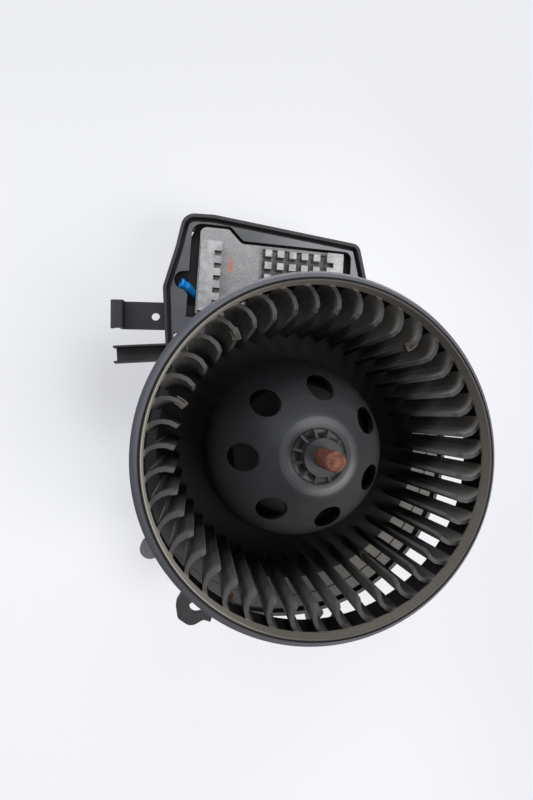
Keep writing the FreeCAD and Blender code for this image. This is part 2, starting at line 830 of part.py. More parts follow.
def build_tab():
    """The fixing tab left of the frame: a holed plate with a rolled end and a gusset."""
    left = -size.frame_left - size.tab_length
    top = -size.tab_drop
    plate_low = top - size.tab_thickness
    body = new_body("tab_body")
    lip = top + size.tab_lip_height
    section = draw(body, "tab_section", [rounded([
        (left, lip, 2.6),
        (left + size.tab_lip_width, lip, 1.6),
        (left + size.tab_lip_width, top, 1.0),
        (-size.frame_left + 1, top),
        (-size.frame_left + 1, plate_low),
        (left + size.tab_lip_width - size.tab_thickness, plate_low, 2.0),
        (left + size.tab_lip_width - size.tab_thickness, lip - size.tab_thickness, 0.6),
        (left + size.tab_thickness, lip - size.tab_thickness, 0.6),
        (left + size.tab_thickness, lip - 4.5),
        (left, lip - 4.5),
    ])])
    feature = body.newObject("PartDesign::Pad", "tab_plate")
    feature.Profile = section
    feature.Reversed = True
    bind(feature, Length=size.tab_width)
    body.Tip = feature
    pocket(body, "tab_hole", [(-size.tab_hole_left, size.tab_hole_up, size.tab_hole_radius)], top + 1,
           size.tab_thickness + 2)
    place(body, y=size.tab_foot)
    return body


def build_guide():
    """The U-section guide below the tab."""
    low = -size.channel_drop - size.channel_depth
    outer = box("guide_outer", size.channel_length, size.channel_width, size.channel_depth, z=low)
    inner = box("guide_space", size.channel_length + 2, size.channel_width - 2 * size.channel_wall,
                size.channel_depth, x=-1, y=size.channel_wall, z=low + size.channel_wall)
    mouth = box("guide_mouth", size.channel_end_wall, size.channel_width - 2 * size.channel_wall,
                size.channel_depth + 2, x=-0.01, y=size.channel_wall, z=low - 1)
    guide = cut("guide", outer, [inner, mouth])
    return place(guide, -size.channel_left, size.channel_foot, 0, size.channel_turn)


def sink_outline(wider=0):
    """The heat sink's outline in its own straight axes, clockwise."""
    left, right, top, crown = -size.sink_left - wider, size.sink_right + wider, size.sink_top, size.sink_crown
    return [
        (left, size.sink_foot),
        (left + 0.4, crown, 4.0),
        (left + wider + 17, crown, 2.0),
        (left + wider + 25, top, 5.0),
        (right, top, 2.0),
        (right, size.sink_foot),
    ]


def build_heat_sink():
    """The cast heat sink: a thick plate with a comb ridge, a field of pins and an end block."""
    body = new_body("heat_sink_body")
    left, right = -size.sink_left, size.sink_right
    pad(body, "sink_plate", [rounded(sink_outline())], -size.sink_thickness, size.sink_thickness)
    half = size.pin_width / 2
    field_left = -size.pin_start_across - half - 1.2
    field_right, field_top = right - size.end_block_width, size.pin_start_up + half + 1.5
    field_foot = size.sink_foot + 2
    pocket(body, "pin_field", [[(field_left, field_top), (field_right, field_top), (field_right, field_foot),
                                (field_left, field_foot)]], 0, size.pin_field_depth)
    pin = pad(body, "pin", [[
        (-size.pin_start_across - half, size.pin_start_up - half), (-size.pin_start_across + half,
                                                                     size.pin_start_up - half),
        (-size.pin_start_across + half, size.pin_start_up + half), (-size.pin_start_across - half,
                                                                     size.pin_start_up + half)]],
        -size.pin_field_depth - 0.5, size.pin_height + size.pin_field_depth + 0.5)
    row = body.newObject("PartDesign::LinearPattern", "pin_row")
    row.Originals = [pin]
    row.Direction = (datum(body, "X_Axis"), [""])
    bind(row, Length=size.pin_pitch * (size.pin_columns - 1), Occurrences=size.pin_columns)
    body.Tip = row
    for line in range(1, int(size.pin_rows.value)):
        drop = size.pin_pitch * line
        first = pad(body, f"pin_{line}", [[
            (-size.pin_start_across - half, size.pin_start_up - half - drop),
            (-size.pin_start_across + half, size.pin_start_up - half - drop),
            (-size.pin_start_across + half, size.pin_start_up + half - drop),
            (-size.pin_start_across - half, size.pin_start_up + half - drop)]],
            -size.pin_field_depth - 0.5, size.pin_height + size.pin_field_depth + 0.5)
        line_row = body.newObject("PartDesign::LinearPattern", f"pin_row_{line}")
        line_row.Originals = [first]
        line_row.Direction = (datum(body, "X_Axis"), [""])
        bind(line_row, Length=size.pin_pitch * (size.pin_columns - 1), Occurrences=size.pin_columns)
        body.Tip = line_row

    # The comb ridge's teeth point at the pins, and the end block's teeth point back at them.
    ridge_right = left + 1.2 + size.ridge_width
    ridge = []
    for side, edge_x, back_x, first_up, count in (
            (1, ridge_right, left + 1.2, 109.3, int(size.ridge_notch_count.value)),
            (-1, right - size.end_block_width, right - 1.4, 108.9, 4)):
        reach = side * size.ridge_notch_length
        top_edge = size.sink_top - 1.3
        corners = [(back_x, top_edge), (edge_x, top_edge)]
        for index in range(count):
            middle = first_up - size.pin_pitch * index
            corners += [(edge_x, middle + size.ridge_notch_width / 2),
                        (edge_x - reach, middle + size.ridge_notch_width / 2),
                        (edge_x - reach, middle - size.ridge_notch_width / 2),
                        (edge_x, middle - size.ridge_notch_width / 2)]
        corners += [(edge_x, size.sink_foot + 1), (back_x, size.sink_foot + 1)]
        ridge.append(corners)
    pad(body, "comb_ridge", [ridge[0]], -0.5, size.pin_height + 0.5)
    pad(body, "end_block", [ridge[1]], -0.5, size.pin_height + 0.5)
    place(body, turn=size.sink_turn)
    return keep("heat_sink", body)


def build_shaft_group():
    """What turns with the wheel: shaft, laminated core, windings, commutator and washers."""
    top = size.wheel_lift + size.wheel_height + size.shaft_nose
    foot = -size.can_foot - size.bearing_length / 2
    shaft, nip = size.shaft_radius, size.shaft_chamfer
    turned_piece("motor_shaft", [(0, foot), (shaft - nip, foot), (shaft, foot + nip), (shaft, top - nip),
                                 (shaft - nip, top), (0, top)])

    core_radius = size.can_radius - size.can_wall - size.magnet_thickness - size.air_gap
    bore = shaft + size.press_gap
    low = -size.core_length / 2 + 6
    body = new_body("armature_core_body")
    turn(body, "core", [(bore, low), (core_radius, low), (core_radius, low + size.core_length),
                        (bore, low + size.core_length)])
    half = size.slot_width / 2
    slot = pocket(body, "core_slot", [[
        (core_radius - size.slot_depth, -half), (core_radius + 1, -half),
        (core_radius + 1, half), (core_radius - size.slot_depth, half)]],
        low + size.core_length + 1, size.core_length + 2)
    repeat_round(body, "core_slots", slot, size.core_slots)
    keep("armature_core", body)

    turns_out = core_radius - 2.5
    for label, base in (("winding_head_upper", low + size.core_length + size.seat_gap),
                        ("winding_head_lower", low - size.winding_height - size.seat_gap)):
        turned_piece(label, [
            (bore + 3, base), (turns_out, base), (turns_out, base + size.winding_height - 2),
            (turns_out - 2, base + size.winding_height), (bore + 3, base + size.winding_height)])

    comm_top = low - size.winding_height - 2 * size.seat_gap
    bar = size.commutator_radius
    comm = new_body("commutator_body")
    turn(comm, "commutator_drum", [
        (bore, comm_top - size.commutator_length), (bar, comm_top - size.commutator_length),
        (bar, comm_top - 2), (bar + 1.5, comm_top - 2), (bar + 1.5, comm_top), (bore, comm_top)])
    cleft = pocket(comm, "bar_gap", [[(bar - 1.2, -0.3), (bar + 2, -0.3), (bar + 2, 0.3), (bar - 1.2, 0.3)]],
                   comm_top + 1, size.commutator_length + 2)
    repeat_round(comm, "bar_gaps", cleft, size.commutator_bars)
    keep("commutator", comm)
    return low, comm_top


def build_motor(low, comm_top):
    """The motor's still parts: can, magnets, bearings, brush card, brushes, cover and mounts."""
    can, wall = size.can_radius, size.can_wall
    top, foot = size.can_top, -size.can_foot
    run = size.shaft_radius + size.running_gap
    seat = size.bearing_radius
    boss = seat + size.bearing_boss_wall
    turned_piece("motor_can", [
        (can - wall, foot), (can, foot), (can, top - 2.5), (can - 2.5, top), (boss, top),
        (boss, top + size.bearing_length - 1), (size.shaft_radius + 2, top + size.bearing_length - 1),
        (size.shaft_radius + 2, top + size.bearing_length - 1 - wall),
        (seat, top + size.bearing_length - 1 - wall), (seat, top - wall), (can - wall, top - wall)])
    ball = seat - size.seat_gap
    bearing_top = top + size.bearing_length - 1 - wall - size.seat_gap
    turned_piece("upper_bearing", [
        (run, bearing_top - size.bearing_length + 2), (ball, bearing_top - size.bearing_length + 2),
        (ball, bearing_top), (run, bearing_top)])
    turned_piece("upper_retainer", [
        (seat - 3, top - wall - 0.85), (seat + 4, top - wall - 0.85), (seat + 4, top - wall - size.seat_gap),
        (seat - 3, top - wall - size.seat_gap)])

    # The end plate closes the can and holds the lower bearing.
    plate_top = foot - size.seat_gap
    cup_low = -size.can_foot - size.bearing_length / 2 - wall - size.end_float
    turned_piece("end_plate", [
        (seat, plate_top), (can, plate_top), (can, plate_top - wall), (boss, plate_top - wall),
        (boss, cup_low), (0, cup_low), (0, cup_low + wall), (seat, cup_low + wall)])
    low_bearing = cup_low + wall + size.end_float
    turned_piece("lower_bearing", [
        (run, low_bearing), (ball, low_bearing), (ball, low_bearing + size.bearing_length * 0.6),
        (run, low_bearing + size.bearing_length * 0.6)])

    magnet_out = can - wall - size.seat_gap
    magnet_low = low + size.core_length / 2 - size.magnet_length / 2
    for label, angle in (("magnet_left", 180 - size.magnet_angle.value / 2),
                         ("magnet_right", -size.magnet_angle.value / 2)):
        outer = cylinder(label + "_outer", magnet_out, size.magnet_length, z=magnet_low)
        bind(outer, Angle=size.magnet_angle)
        inner = cylinder(label + "_bore", magnet_out - size.magnet_thickness + size.seat_gap,
                         size.magnet_length + 2, z=magnet_low - 1)
        magnet = cut(label + "_arc", outer, [inner])
        keep(label, place(magnet, turn=angle))

    # The brush card lies across the can over the end plate.
    card_low = plate_top + 3
    hole = size.commutator_radius + 3
    turned_piece("brush_card", [
        (hole, card_low), (can - wall - size.seat_gap, card_low),
        (can - wall - size.seat_gap, card_low + size.card_thickness), (hole, card_low + size.card_thickness)])
    brush_low = card_low + size.card_thickness + 1.2
    half = size.brush_width / 2
    for label, side in (("left", -1), ("right", 1)):
        start = size.commutator_radius + 0.3
        near = start if side > 0 else -start - size.brush_length
        keep(f"brush_{label}", box(f"brush_{label}_block", size.brush_length, size.brush_width,
                                   size.brush_width, near, -half, brush_low))
        shell = box(f"holder_{label}_outer", size.brush_length, size.brush_width + 2, size.brush_width + 2,
                    near + side * 3, -half - 1, brush_low - 1)
        space = box(f"holder_{label}_space", size.brush_length + 2, size.brush_width + 0.2,
                    size.brush_width + 0.2, near + side * 3 - 1, -half - 0.1, brush_low - 0.1)
        keep(f"brush_holder_{label}", cut(f"holder_{label}", shell, [space]))

    # Rubber rings carry the can in the cup.
    ring_out = cup_radius - size.seat_gap
    ring_in = can + size.seat_gap
    for label, base in (("isolator_upper", -3.0), ("isolator_lower", -size.cup_depth + 12)):
        turned_piece(label, [
            (ring_in, base), (ring_out, base), (ring_out, base + size.isolator_height),
            (ring_in, base + size.isolator_height)])

    cup_out = cup_radius + size.cup_wall
    cover_top = -size.cup_depth - size.seat_gap
    cover_low = cover_top - size.cover_thickness
    turned_piece("motor_cover", [
        (0, cover_low), (cup_out - 1.2, cover_low), (cup_out, cover_low + 1.2),
        (cup_out, cover_top), (ring_out, cover_top), (ring_out, cover_top + size.cover_lip),
        (cup_radius - size.cover_thickness, cover_top + size.cover_lip),
        (cup_radius - size.cover_thickness, cover_top), (0, cover_top)])


def sink_frame(item, z=0):
    """Turns an object with the heat sink, about the wheel's axis."""
    return place(item, z=z, turn=size.sink_turn)


def turned(x, y, angle):
    """A point of the plan turned about the wheel's axis."""
    return x * math.cos(angle) - y * math.sin(angle), x * math.sin(angle) + y * math.cos(angle)


def sink_box(name, length, width, height, x, y, z):
    """A box set in the heat sink's straight axes and turned with it."""
    angle = math.radians(size.sink_turn.value)
    item = box(name, length, width, height)
    return place(item, *turned(x, y, angle), z, size.sink_turn)


def build_regulator():
    """Under the heat sink: the regulator's tray, board, transistors, socket and terminals."""
    top = -size.sink_thickness - size.seat_gap
    low = top - size.tray_depth
    left, right = -size.sink_left + 2, size.sink_right - 1
    north, south = size.sink_top - 1.5, size.sink_foot + 1
    wall = size.tray_wall
    outline = [(left, south, 3.0), (left, north, 3.0), (right, north, 3.0), (right, south, 3.0)]
    socket_x, socket_y = -size.socket_left, size.socket_up
    terminal_y = socket_y + size.socket_width / 2 - size.terminal_thickness / 2
    terminal_count = int(size.terminal_count.value)
    outer = box("socket_outer", size.socket_length, size.socket_width, size.socket_depth + wall,
                socket_x, socket_y, low - size.socket_depth)
    space = box("socket_space", size.socket_length - 2 * size.socket_wall,
                size.socket_width - 2 * size.socket_wall, size.socket_depth,
                socket_x + size.socket_wall, socket_y + size.socket_wall, low - size.socket_depth - 0.01)
    skirt = prism("skirt_plate", [
        (left - 15, south - 3, 3.0), (left - 18, north - 26, 3.0), (left - 15.5, north - 15, 3.0),
        (left - 4, north + 13, 3.0), (left + 20, north + 13, 3.0), (left + 32, north + 6, 3.0),
        (right + 6.5, north + 6, 3.0), (right + 12.5, north - 8, 3.0), (right + 12.5, north - 20, 3.0),
        (right + 8, north - 25, 3.0), (right + 8, south, 3.0)], top - size.skirt_thickness, top)
    angle = -math.radians(size.sink_turn.value)
    screw_holes = [cylinder(f"screw_hole_{index}", size.screw_radius + 0.3, size.skirt_thickness + 2,
                            *turned(x, y, angle), top - size.skirt_thickness - 1)
                   for index, (x, y) in enumerate(SCREW_PLACES)]
    posts = []
    for x in (left + wall + 2.5, right - wall - 2.5):
        for y in (south + wall + 2.5, north - wall - 2.5):
            posts.append(box(f"board_post_{len(posts)}", 5, 5, size.tray_depth - size.board_drop - wall / 2
                             - size.seat_gap, x - 2.5, y - 2.5, low + wall / 2))
    trough_deep = 2 * size.skirt_thickness
    edge = size.trough_wall
    trough = box("lead_trough", size.trough_length + 2 * edge, size.trough_width + 2 * edge, trough_deep,
                 left - size.trough_length - edge, size.trough_up - edge, top - trough_deep)
    trough_space = box("lead_trough_space", size.trough_length, size.trough_width, trough_deep,
                       left - size.trough_length, size.trough_up, top - trough_deep + 1)
    shell = cut("tray_shell", fuse("tray_block", [prism("tray_wall", outline, low, top), skirt, trough]),
                [prism("tray_space", inset(outline, wall), low + wall, top + 1), trough_space])
    body = cut("tray_with_socket", fuse("tray_fused", [shell, outer] + posts), [space] + screw_holes)
    terminals = group("terminal_set", [
        box(f"terminal_{index}", size.terminal_width, size.terminal_thickness,
            size.socket_depth + size.terminal_tail,
            socket_x + size.terminal_inset + index * size.terminal_pitch, terminal_y,
            low - size.socket_depth + 4)
        for index in range(terminal_count)])
    holes = [box(f"terminal_hole_{index}", size.terminal_width, size.terminal_thickness, wall + 2,
                 socket_x + size.terminal_inset + index * size.terminal_pitch, terminal_y, low - 1)
             for index in range(terminal_count)]
    keep("regulator_housing", sink_frame(cut("tray_finished", body, holes)))
    keep("socket_terminals", sink_frame(terminals))

    gap = size.seat_gap
    board_z = top - size.board_drop
    keep("regulator_board", sink_box("board_plate", right - left - 2 * wall - 2 * gap - 3,
                                     north - south - 2 * wall - 2 * gap - 3, size.board_thickness,
                                     left + wall + gap + 1.5, south + wall + gap + 1.5, board_z))
    for label, x in (("transistor_left", size.transistor_left), ("transistor_right", size.transistor_right)):
        keep(label, sink_box(label + "_block", size.transistor_width, size.transistor_height,
                             size.transistor_thickness, x, size.transistor_up,
                             top - size.transistor_thickness))
    keep("fuse_strip", sink_box("fuse_strip_plate", size.fuse_width, size.fuse_length, size.fuse_thickness,
                                size.fuse_left, size.fuse_up, top - size.fuse_thickness))

    screws = []
    for index, (x, y) in enumerate(SCREW_PLACES):
        seat = top - size.skirt_thickness - size.seat_gap
        head = cylinder(f"screw_head_{index}", size.screw_head_radius, size.screw_head_height, x, y,
                        seat - size.screw_head_height)
        shank = cylinder(f"screw_shank_{index}", size.screw_radius - size.seat_gap,
                         size.skirt_thickness + 5, x, y, seat - 0.5)
        screws.append(fuse(f"screw_{index}", [head, shank]))
    keep("regulator_screws", group("screw_set", screws))

    # A blue sleeve covers the end of the motor lead's terminal, in the frame's round notch.
    body = new_body("sleeve_body")
    out, bore, long = size.sleeve_radius, size.sleeve_radius - size.sleeve_wall, size.sleeve_length
    turn(body, "sleeve", [(bore, 0), (out, 0), (out, long), (bore, long)])
    direction = FreeCAD.Rotation(FreeCAD.Vector(0, 0, 1), FreeCAD.Vector(*SLEEVE_DIRECTION))
    start = FreeCAD.Vector(*SLEEVE_START)
    body.Placement = FreeCAD.Placement(start, direction)
    keep("terminal_sleeve", body)
    pin = cylinder("lead_pin", bore - size.seat_gap, size.sleeve_length * 0.75 + size.lead_back)
    behind = direction.multVec(FreeCAD.Vector(0, 0, -size.lead_back.value))
    pin.Placement = FreeCAD.Placement(start + behind, direction)
    keep("lead_terminal", pin)


def build_clips():
    """The four spring balance clips, each a strap bent round one blade's tip."""
    pitch = 360 / size.blade_count.value
    half = size.blade_thickness / 2
    near = size.blade_curve - half - size.clip_gap
    far = size.blade_curve + half + size.clip_gap
    wire, across, out = size.clip_wire, size.blade_centre_across, blade_centre_out
    back, front, tail = (math.radians(angle.value) for angle in (
        size.clip_back_angle, size.clip_front_angle, size.clip_tail_angle))
    top = size.wheel_lift + size.wheel_height - size.blade_tip_drop

    def spot(radius, angle):
        return out + radius * math.cos(angle), across + radius * math.sin(angle)

    clips = []
    for index, (blade, drop) in enumerate(CLIP_PLACES):
        body = new_body(f"clip_{index}")
        pad(body, f"clip_{index}_strap", [[
            (*spot(near - wire, back), near - wire, 1), spot(near - wire, tail),
            (*spot(near, tail), near, -1), spot(near, front),
            (*spot(far, front), far, 1), spot(far, tail),
            (*spot(far + wire, tail), far + wire, -1), spot(far + wire, back),
        ]], top - drop - size.clip_height, size.clip_height)
        clips.append(place(body, turn=blade * pitch))
    keep("balance_clips", group("clip_set", clips))


build_impeller()
build_flange()
build_heat_sink()
core_low, commutator_top = build_shaft_group()
build_motor(core_low, commutator_top)
build_regulator()
build_clips()

doc.recompute()
for item in doc.Objects:
    if "Invalid" in item.State or "Error" in item.State:
        raise RuntimeError(f"{item.Name} failed: {item.State}")
os.makedirs("parts", exist_ok=True)
for label, item in nodes.items():
    if item.Shape.isNull() or not item.Shape.isValid():
        raise RuntimeError(f"{label} has no valid shape")
    item.Shape.exportStep(f"parts/{label}.step")
    print(label, len(item.Shape.Solids), round(item.Shape.Volume))
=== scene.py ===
"""The looks of a used car cabin blower motor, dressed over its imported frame.

Every length is in metres in the part's own frame: the origin lies on the wheel's axis in the plane where
the flange seats, +Z points out of the wheel's inlet and +Y towards the speed regulator.
"""

import json
import logging
import math
import random
from dataclasses import dataclass
from enum import Enum
from typing import Optional, Sequence, Union

import bmesh
import bpy
from mathutils import Matrix, Vector

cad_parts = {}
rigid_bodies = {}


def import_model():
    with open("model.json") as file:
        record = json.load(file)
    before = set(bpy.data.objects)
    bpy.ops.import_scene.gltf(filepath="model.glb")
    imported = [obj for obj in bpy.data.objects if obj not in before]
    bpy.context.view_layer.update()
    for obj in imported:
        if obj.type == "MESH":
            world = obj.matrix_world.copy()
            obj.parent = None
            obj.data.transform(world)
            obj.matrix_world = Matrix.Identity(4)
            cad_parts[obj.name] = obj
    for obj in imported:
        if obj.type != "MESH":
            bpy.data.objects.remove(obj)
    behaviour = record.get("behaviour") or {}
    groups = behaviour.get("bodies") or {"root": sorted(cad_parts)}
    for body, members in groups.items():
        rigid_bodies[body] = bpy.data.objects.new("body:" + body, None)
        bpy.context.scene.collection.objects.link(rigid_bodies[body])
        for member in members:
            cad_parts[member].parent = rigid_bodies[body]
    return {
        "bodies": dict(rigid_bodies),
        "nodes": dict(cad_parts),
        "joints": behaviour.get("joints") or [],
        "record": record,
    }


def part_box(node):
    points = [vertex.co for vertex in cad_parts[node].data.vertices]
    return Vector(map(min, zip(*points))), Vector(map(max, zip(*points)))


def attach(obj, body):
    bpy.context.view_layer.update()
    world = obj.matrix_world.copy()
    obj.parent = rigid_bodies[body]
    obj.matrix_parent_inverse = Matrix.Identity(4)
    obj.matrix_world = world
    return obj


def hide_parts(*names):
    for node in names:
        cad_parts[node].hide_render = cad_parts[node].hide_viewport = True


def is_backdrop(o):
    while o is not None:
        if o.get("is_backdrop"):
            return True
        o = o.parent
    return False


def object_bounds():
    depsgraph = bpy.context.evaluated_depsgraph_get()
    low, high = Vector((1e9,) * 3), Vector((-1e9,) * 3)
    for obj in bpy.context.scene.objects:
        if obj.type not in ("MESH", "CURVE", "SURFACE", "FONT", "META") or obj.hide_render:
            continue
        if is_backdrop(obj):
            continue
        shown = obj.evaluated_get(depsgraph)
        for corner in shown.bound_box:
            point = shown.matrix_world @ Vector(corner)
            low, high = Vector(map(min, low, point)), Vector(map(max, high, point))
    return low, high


log = logging.getLogger("scene")

MM = 0.001
Colour = tuple[float, float, float]
Point = tuple[float, float, float]


@dataclass(frozen=True)
class Camera:
    """Where the photograph was taken from, and how it was framed."""

    place: Point = (-53.56 * MM, 19.21 * MM, 294.43 * MM)
    right: Point = (0.98987, -0.00352, 0.14195)
    up: Point = (0.0, 0.99969, 0.02476)
    forward: Point = (0.14199, 0.02451, -0.98956)
    focal_px: float = 500.0
    long_side_px: float = 800.0
    sensor_mm: float = 36.0
    nearest: float = 10 * MM


@dataclass(frozen=True)
class Wheel:
    """Landmarks of the wheel, for its dust, wear and shade. The drops are measured down from its top."""

    rim_outer: float = 80.0 * MM
    mouth: float = 75.4 * MM
    blade_tip: float = 61.9 * MM
    dome_foot: float = 48.6 * MM
    dome_shoulder: float = 17.5 * MM
    dome_curve: float = 99.0 * MM
    dome_lean: float = 0.684
    crest: float = 14.2 * MM
    boss: float = 8.2 * MM
    shoulder_drop: float = 10.2 * MM
    tip_drop: float = 3.1 * MM
    face_drop: float = 6.2 * MM

    def top_slope(self) -> float:
        """How far the blades' tops fall for each metre outwards."""
        return (self.face_drop - self.tip_drop) / (self.mouth - self.blade_tip)


@dataclass(frozen=True)
class Plate:
    """Landmarks of the flange's round plate, its lobe and the tray round the heat sink."""

    bead: float = 97.0 * MM
    cup: float = 55.0 * MM
    under_wheel: float = 84.0 * MM
    tray_edge: float = 60.0 * MM
    tray_low: float = -2.4 * MM
    tray_high: float = -0.9 * MM
    lobe_right: float = -70.0 * MM
    lobe_top: float = -37.5 * MM


@dataclass(frozen=True)
class Sink:
    """The heat sink's turned axes, its field of pins and the paint mark on it."""

    turn: float = math.radians(-3.6)
    field_left: float = -22.0 * MM
    mark_middle: float = -39.0 * MM
    mark_top_half: float = 0.35 * MM
    mark_foot_half: float = 1.4 * MM
    mark_top: float = 109.3 * MM
    mark_foot: float = 100.4 * MM

    def mark_widening(self) -> float:
        """How much the mark's half width grows for each metre down."""
        return (self.mark_foot_half - self.mark_top_half) / (self.mark_top - self.mark_foot)


CAMERA = Camera()
WHEEL = Wheel()
PLATE = Plate()
SINK = Sink()


class Body(Enum):
    """The rigid bodies that the added pieces can ride on."""

    HOUSING = "housing"


class Signal:
    """One output of a shader graph, with arithmetic that adds the nodes it needs."""

    def __init__(self, graph: "Graph", socket: Optional[bpy.types.NodeSocket]) -> None:
        """Keeps the graph and the output socket."""
        self.graph = graph
        self.socket = socket

    def _math(self, operation: str, *others: "Value", clamp: bool = False) -> "Signal":
        """A Math node on this signal and the others."""
        return self.graph.node("ShaderNodeMath", self, *others, operation=operation, use_clamp=clamp)

    def __add__(self, other: "Value") -> "Signal":
        """Sum."""
        return self._math("ADD", other)

    def __sub__(self, other: "Value") -> "Signal":
        """Difference."""
        return self._math("SUBTRACT", other)

    def __rsub__(self, other: "Value") -> "Signal":
        """Difference from a value on the left, as in 1 - mask."""
        return self.graph.node("ShaderNodeMath", other, self, operation="SUBTRACT")

    def __mul__(self, other: "Value") -> "Signal":
        """Product."""
        return self._math("MULTIPLY", other)

    def __truediv__(self, other: "Value") -> "Signal":
        """Quotient."""
        return self._math("DIVIDE", other)

    def __pow__(self, other: "Value") -> "Signal":
        """Power."""
        return self._math("POWER", other)

    __radd__ = __add__
    __rmul__ = __mul__

    def clamp(self) -> "Signal":
        """The signal held between 0 and 1."""
        return self._math("ADD", 0.0, clamp=True)

    def magnitude(self) -> "Signal":
        """The signal without its sign."""
        return self._math("ABSOLUTE")

    def hypot(self, other: "Signal") -> "Signal":
        """The length of the flat vector (self, other)."""
        return (self * self + other * other)._math("SQRT")

    def over(self, low: float, high: float) -> "Signal":
        """A smooth step from 0 at low to 1 at high, which falls where low is the greater."""
        return self.graph.node(
            "ShaderNodeMapRange", self, low, high, 0.0, 1.0, interpolation_type="SMOOTHSTEP", clamp=True)

    def within(self, low: float, high: float, soft: float) -> "Signal":
        """1 between low and high, with soft edges."""
        return self.over(low - soft, low + soft) * self.over(high + soft, high - soft)


Value = Union[Signal, float, Colour]


class Graph:
    """A material's node tree, built by one generic node method."""

    def __init__(self, name: str) -> None:
        """Starts an empty material with its coordinates ready.

        Args:
            name: The material's name.
        """
        self.material = bpy.data.materials.new(name)
        self.material.use_nodes = True
        self.tree = self.material.node_tree
        self.tree.nodes.clear()
        self.coords = self.node("ShaderNodeTexCoord", out="Object")
        self.x, self.y, self.z = self.split(self.coords)
        self.nx, self.ny, self.nz = self.split(self.node("ShaderNodeTexCoord", out="Normal"))
        self.radius = self.x.hypot(self.y)

    def node(self, kind: str, *inputs: Value, out: Union[str, int] = 0,
             named: Optional[dict[Union[str, int], Value]] = None, **settings: object) -> Signal:
        """Adds a node, with its settings made before its inputs.

        Args:
            kind: The node's Blender type.
            inputs: Values or signals for its first inputs, in order.
            out: The output to return, by name or number.
            named: Values or signals for inputs given by name or number.
            settings: Properties to set on the node.

        Returns:
            The chosen output as a signal, or a signal without a socket where the node has no output.
        """
        item = self.tree.nodes.new(kind)
        for key, value in settings.items():
            setattr(item, key, value)
        for key, value in [*enumerate(inputs), *(named or {}).items()]:
            socket = item.inputs[key]
            if isinstance(value, Signal):
                self.tree.links.new(value.socket, socket)
            else:
                is_colour = socket.type == "RGBA" and len(value) == 3
                socket.default_value = (*value, 1.0) if is_colour else value
        return Signal(self, item.outputs[out] if item.outputs else None)

    def split(self, vector: Signal) -> tuple[Signal, ...]:
        """The three components of a vector signal."""
        parts = self.node("ShaderNodeSeparateXYZ", vector).socket.node.outputs
        return tuple(Signal(self, part) for part in parts)

    def noise(self, grain: float, detail: float = 4.0) -> Signal:
        """Fractal noise with features about grain metres across, from 0 to 1."""
        return self.node("ShaderNodeTexNoise", out="Fac", named={
            "Vector": self.coords, "Scale": 1.0 / grain, "Detail": detail, "Roughness": 0.55})

    def specks(self, grain: float, share: float) -> Signal:
        """Scattered round specks: 1 inside a speck.

        Args:
            grain: The distance between specks.
            share: A speck's radius as a share of that distance.

        Returns:
            The specks' mask.
        """
        cells = self.node("ShaderNodeTexVoronoi", out="Distance", named={
            "Vector": self.coords, "Scale": 1.0 / grain, "Randomness": 1.0})
        return cells.over(share, share * 0.6)

    def mix(self, factor: Value, first: Value, second: Value) -> Signal:
        """Two colours mixed by a factor, from the first at 0 to the second at 1."""
        return self.node("ShaderNodeMix", out=2, named={0: factor, 6: first, 7: second}, data_type="RGBA")

    def bump(self, height: Signal, distance: float, strength: float, base: Optional[Signal] = None) -> Signal:
        """Bends a normal by a height signal.

        Args:
            height: The height, whose full range stands for distance.
            distance: That distance in metres.
            strength: The share of the bend.
            base: The normal to bend, or none for the surface's own.

        Returns:
            The bent normal.
        """
        named = {"Strength": strength, "Distance": distance, "Height": height}
        if base is not None:
            named["Normal"] = base
        return self.node("ShaderNodeBump", out="Normal", named=named)

    def finish(self, colour: Value, roughness: Value, normal: Signal, metallic: Value = 0.0,
               specular: float = 0.5, coat: float = 0.0) -> bpy.types.Material:
        """Ends the graph in one Principled shader.

        Args:
            colour: Base colour.
            roughness: Roughness.
            normal: Bent normal.
            metallic: Metallic share.
            specular: Specular level, the same all over.
            coat: Coat weight, the same all over.

        Returns:
            The finished material.
        """
        self.output(self.node("ShaderNodeBsdfPrincipled", named={
            "Base Color": colour, "Roughness": roughness, "Metallic": metallic, "Coat Weight": coat,
            "Specular IOR Level": specular, "Normal": normal}))
        return self.material

    def output(self, shader: Signal) -> None:
        """Links a shader to the material's output."""
        self.node("ShaderNodeOutputMaterial", shader)


@dataclass(frozen=True)
class Grain:
    """The three noises that vary a moulding's colour, from broad to fine."""

    cloud: Signal
    fine: Signal
    grit: Signal


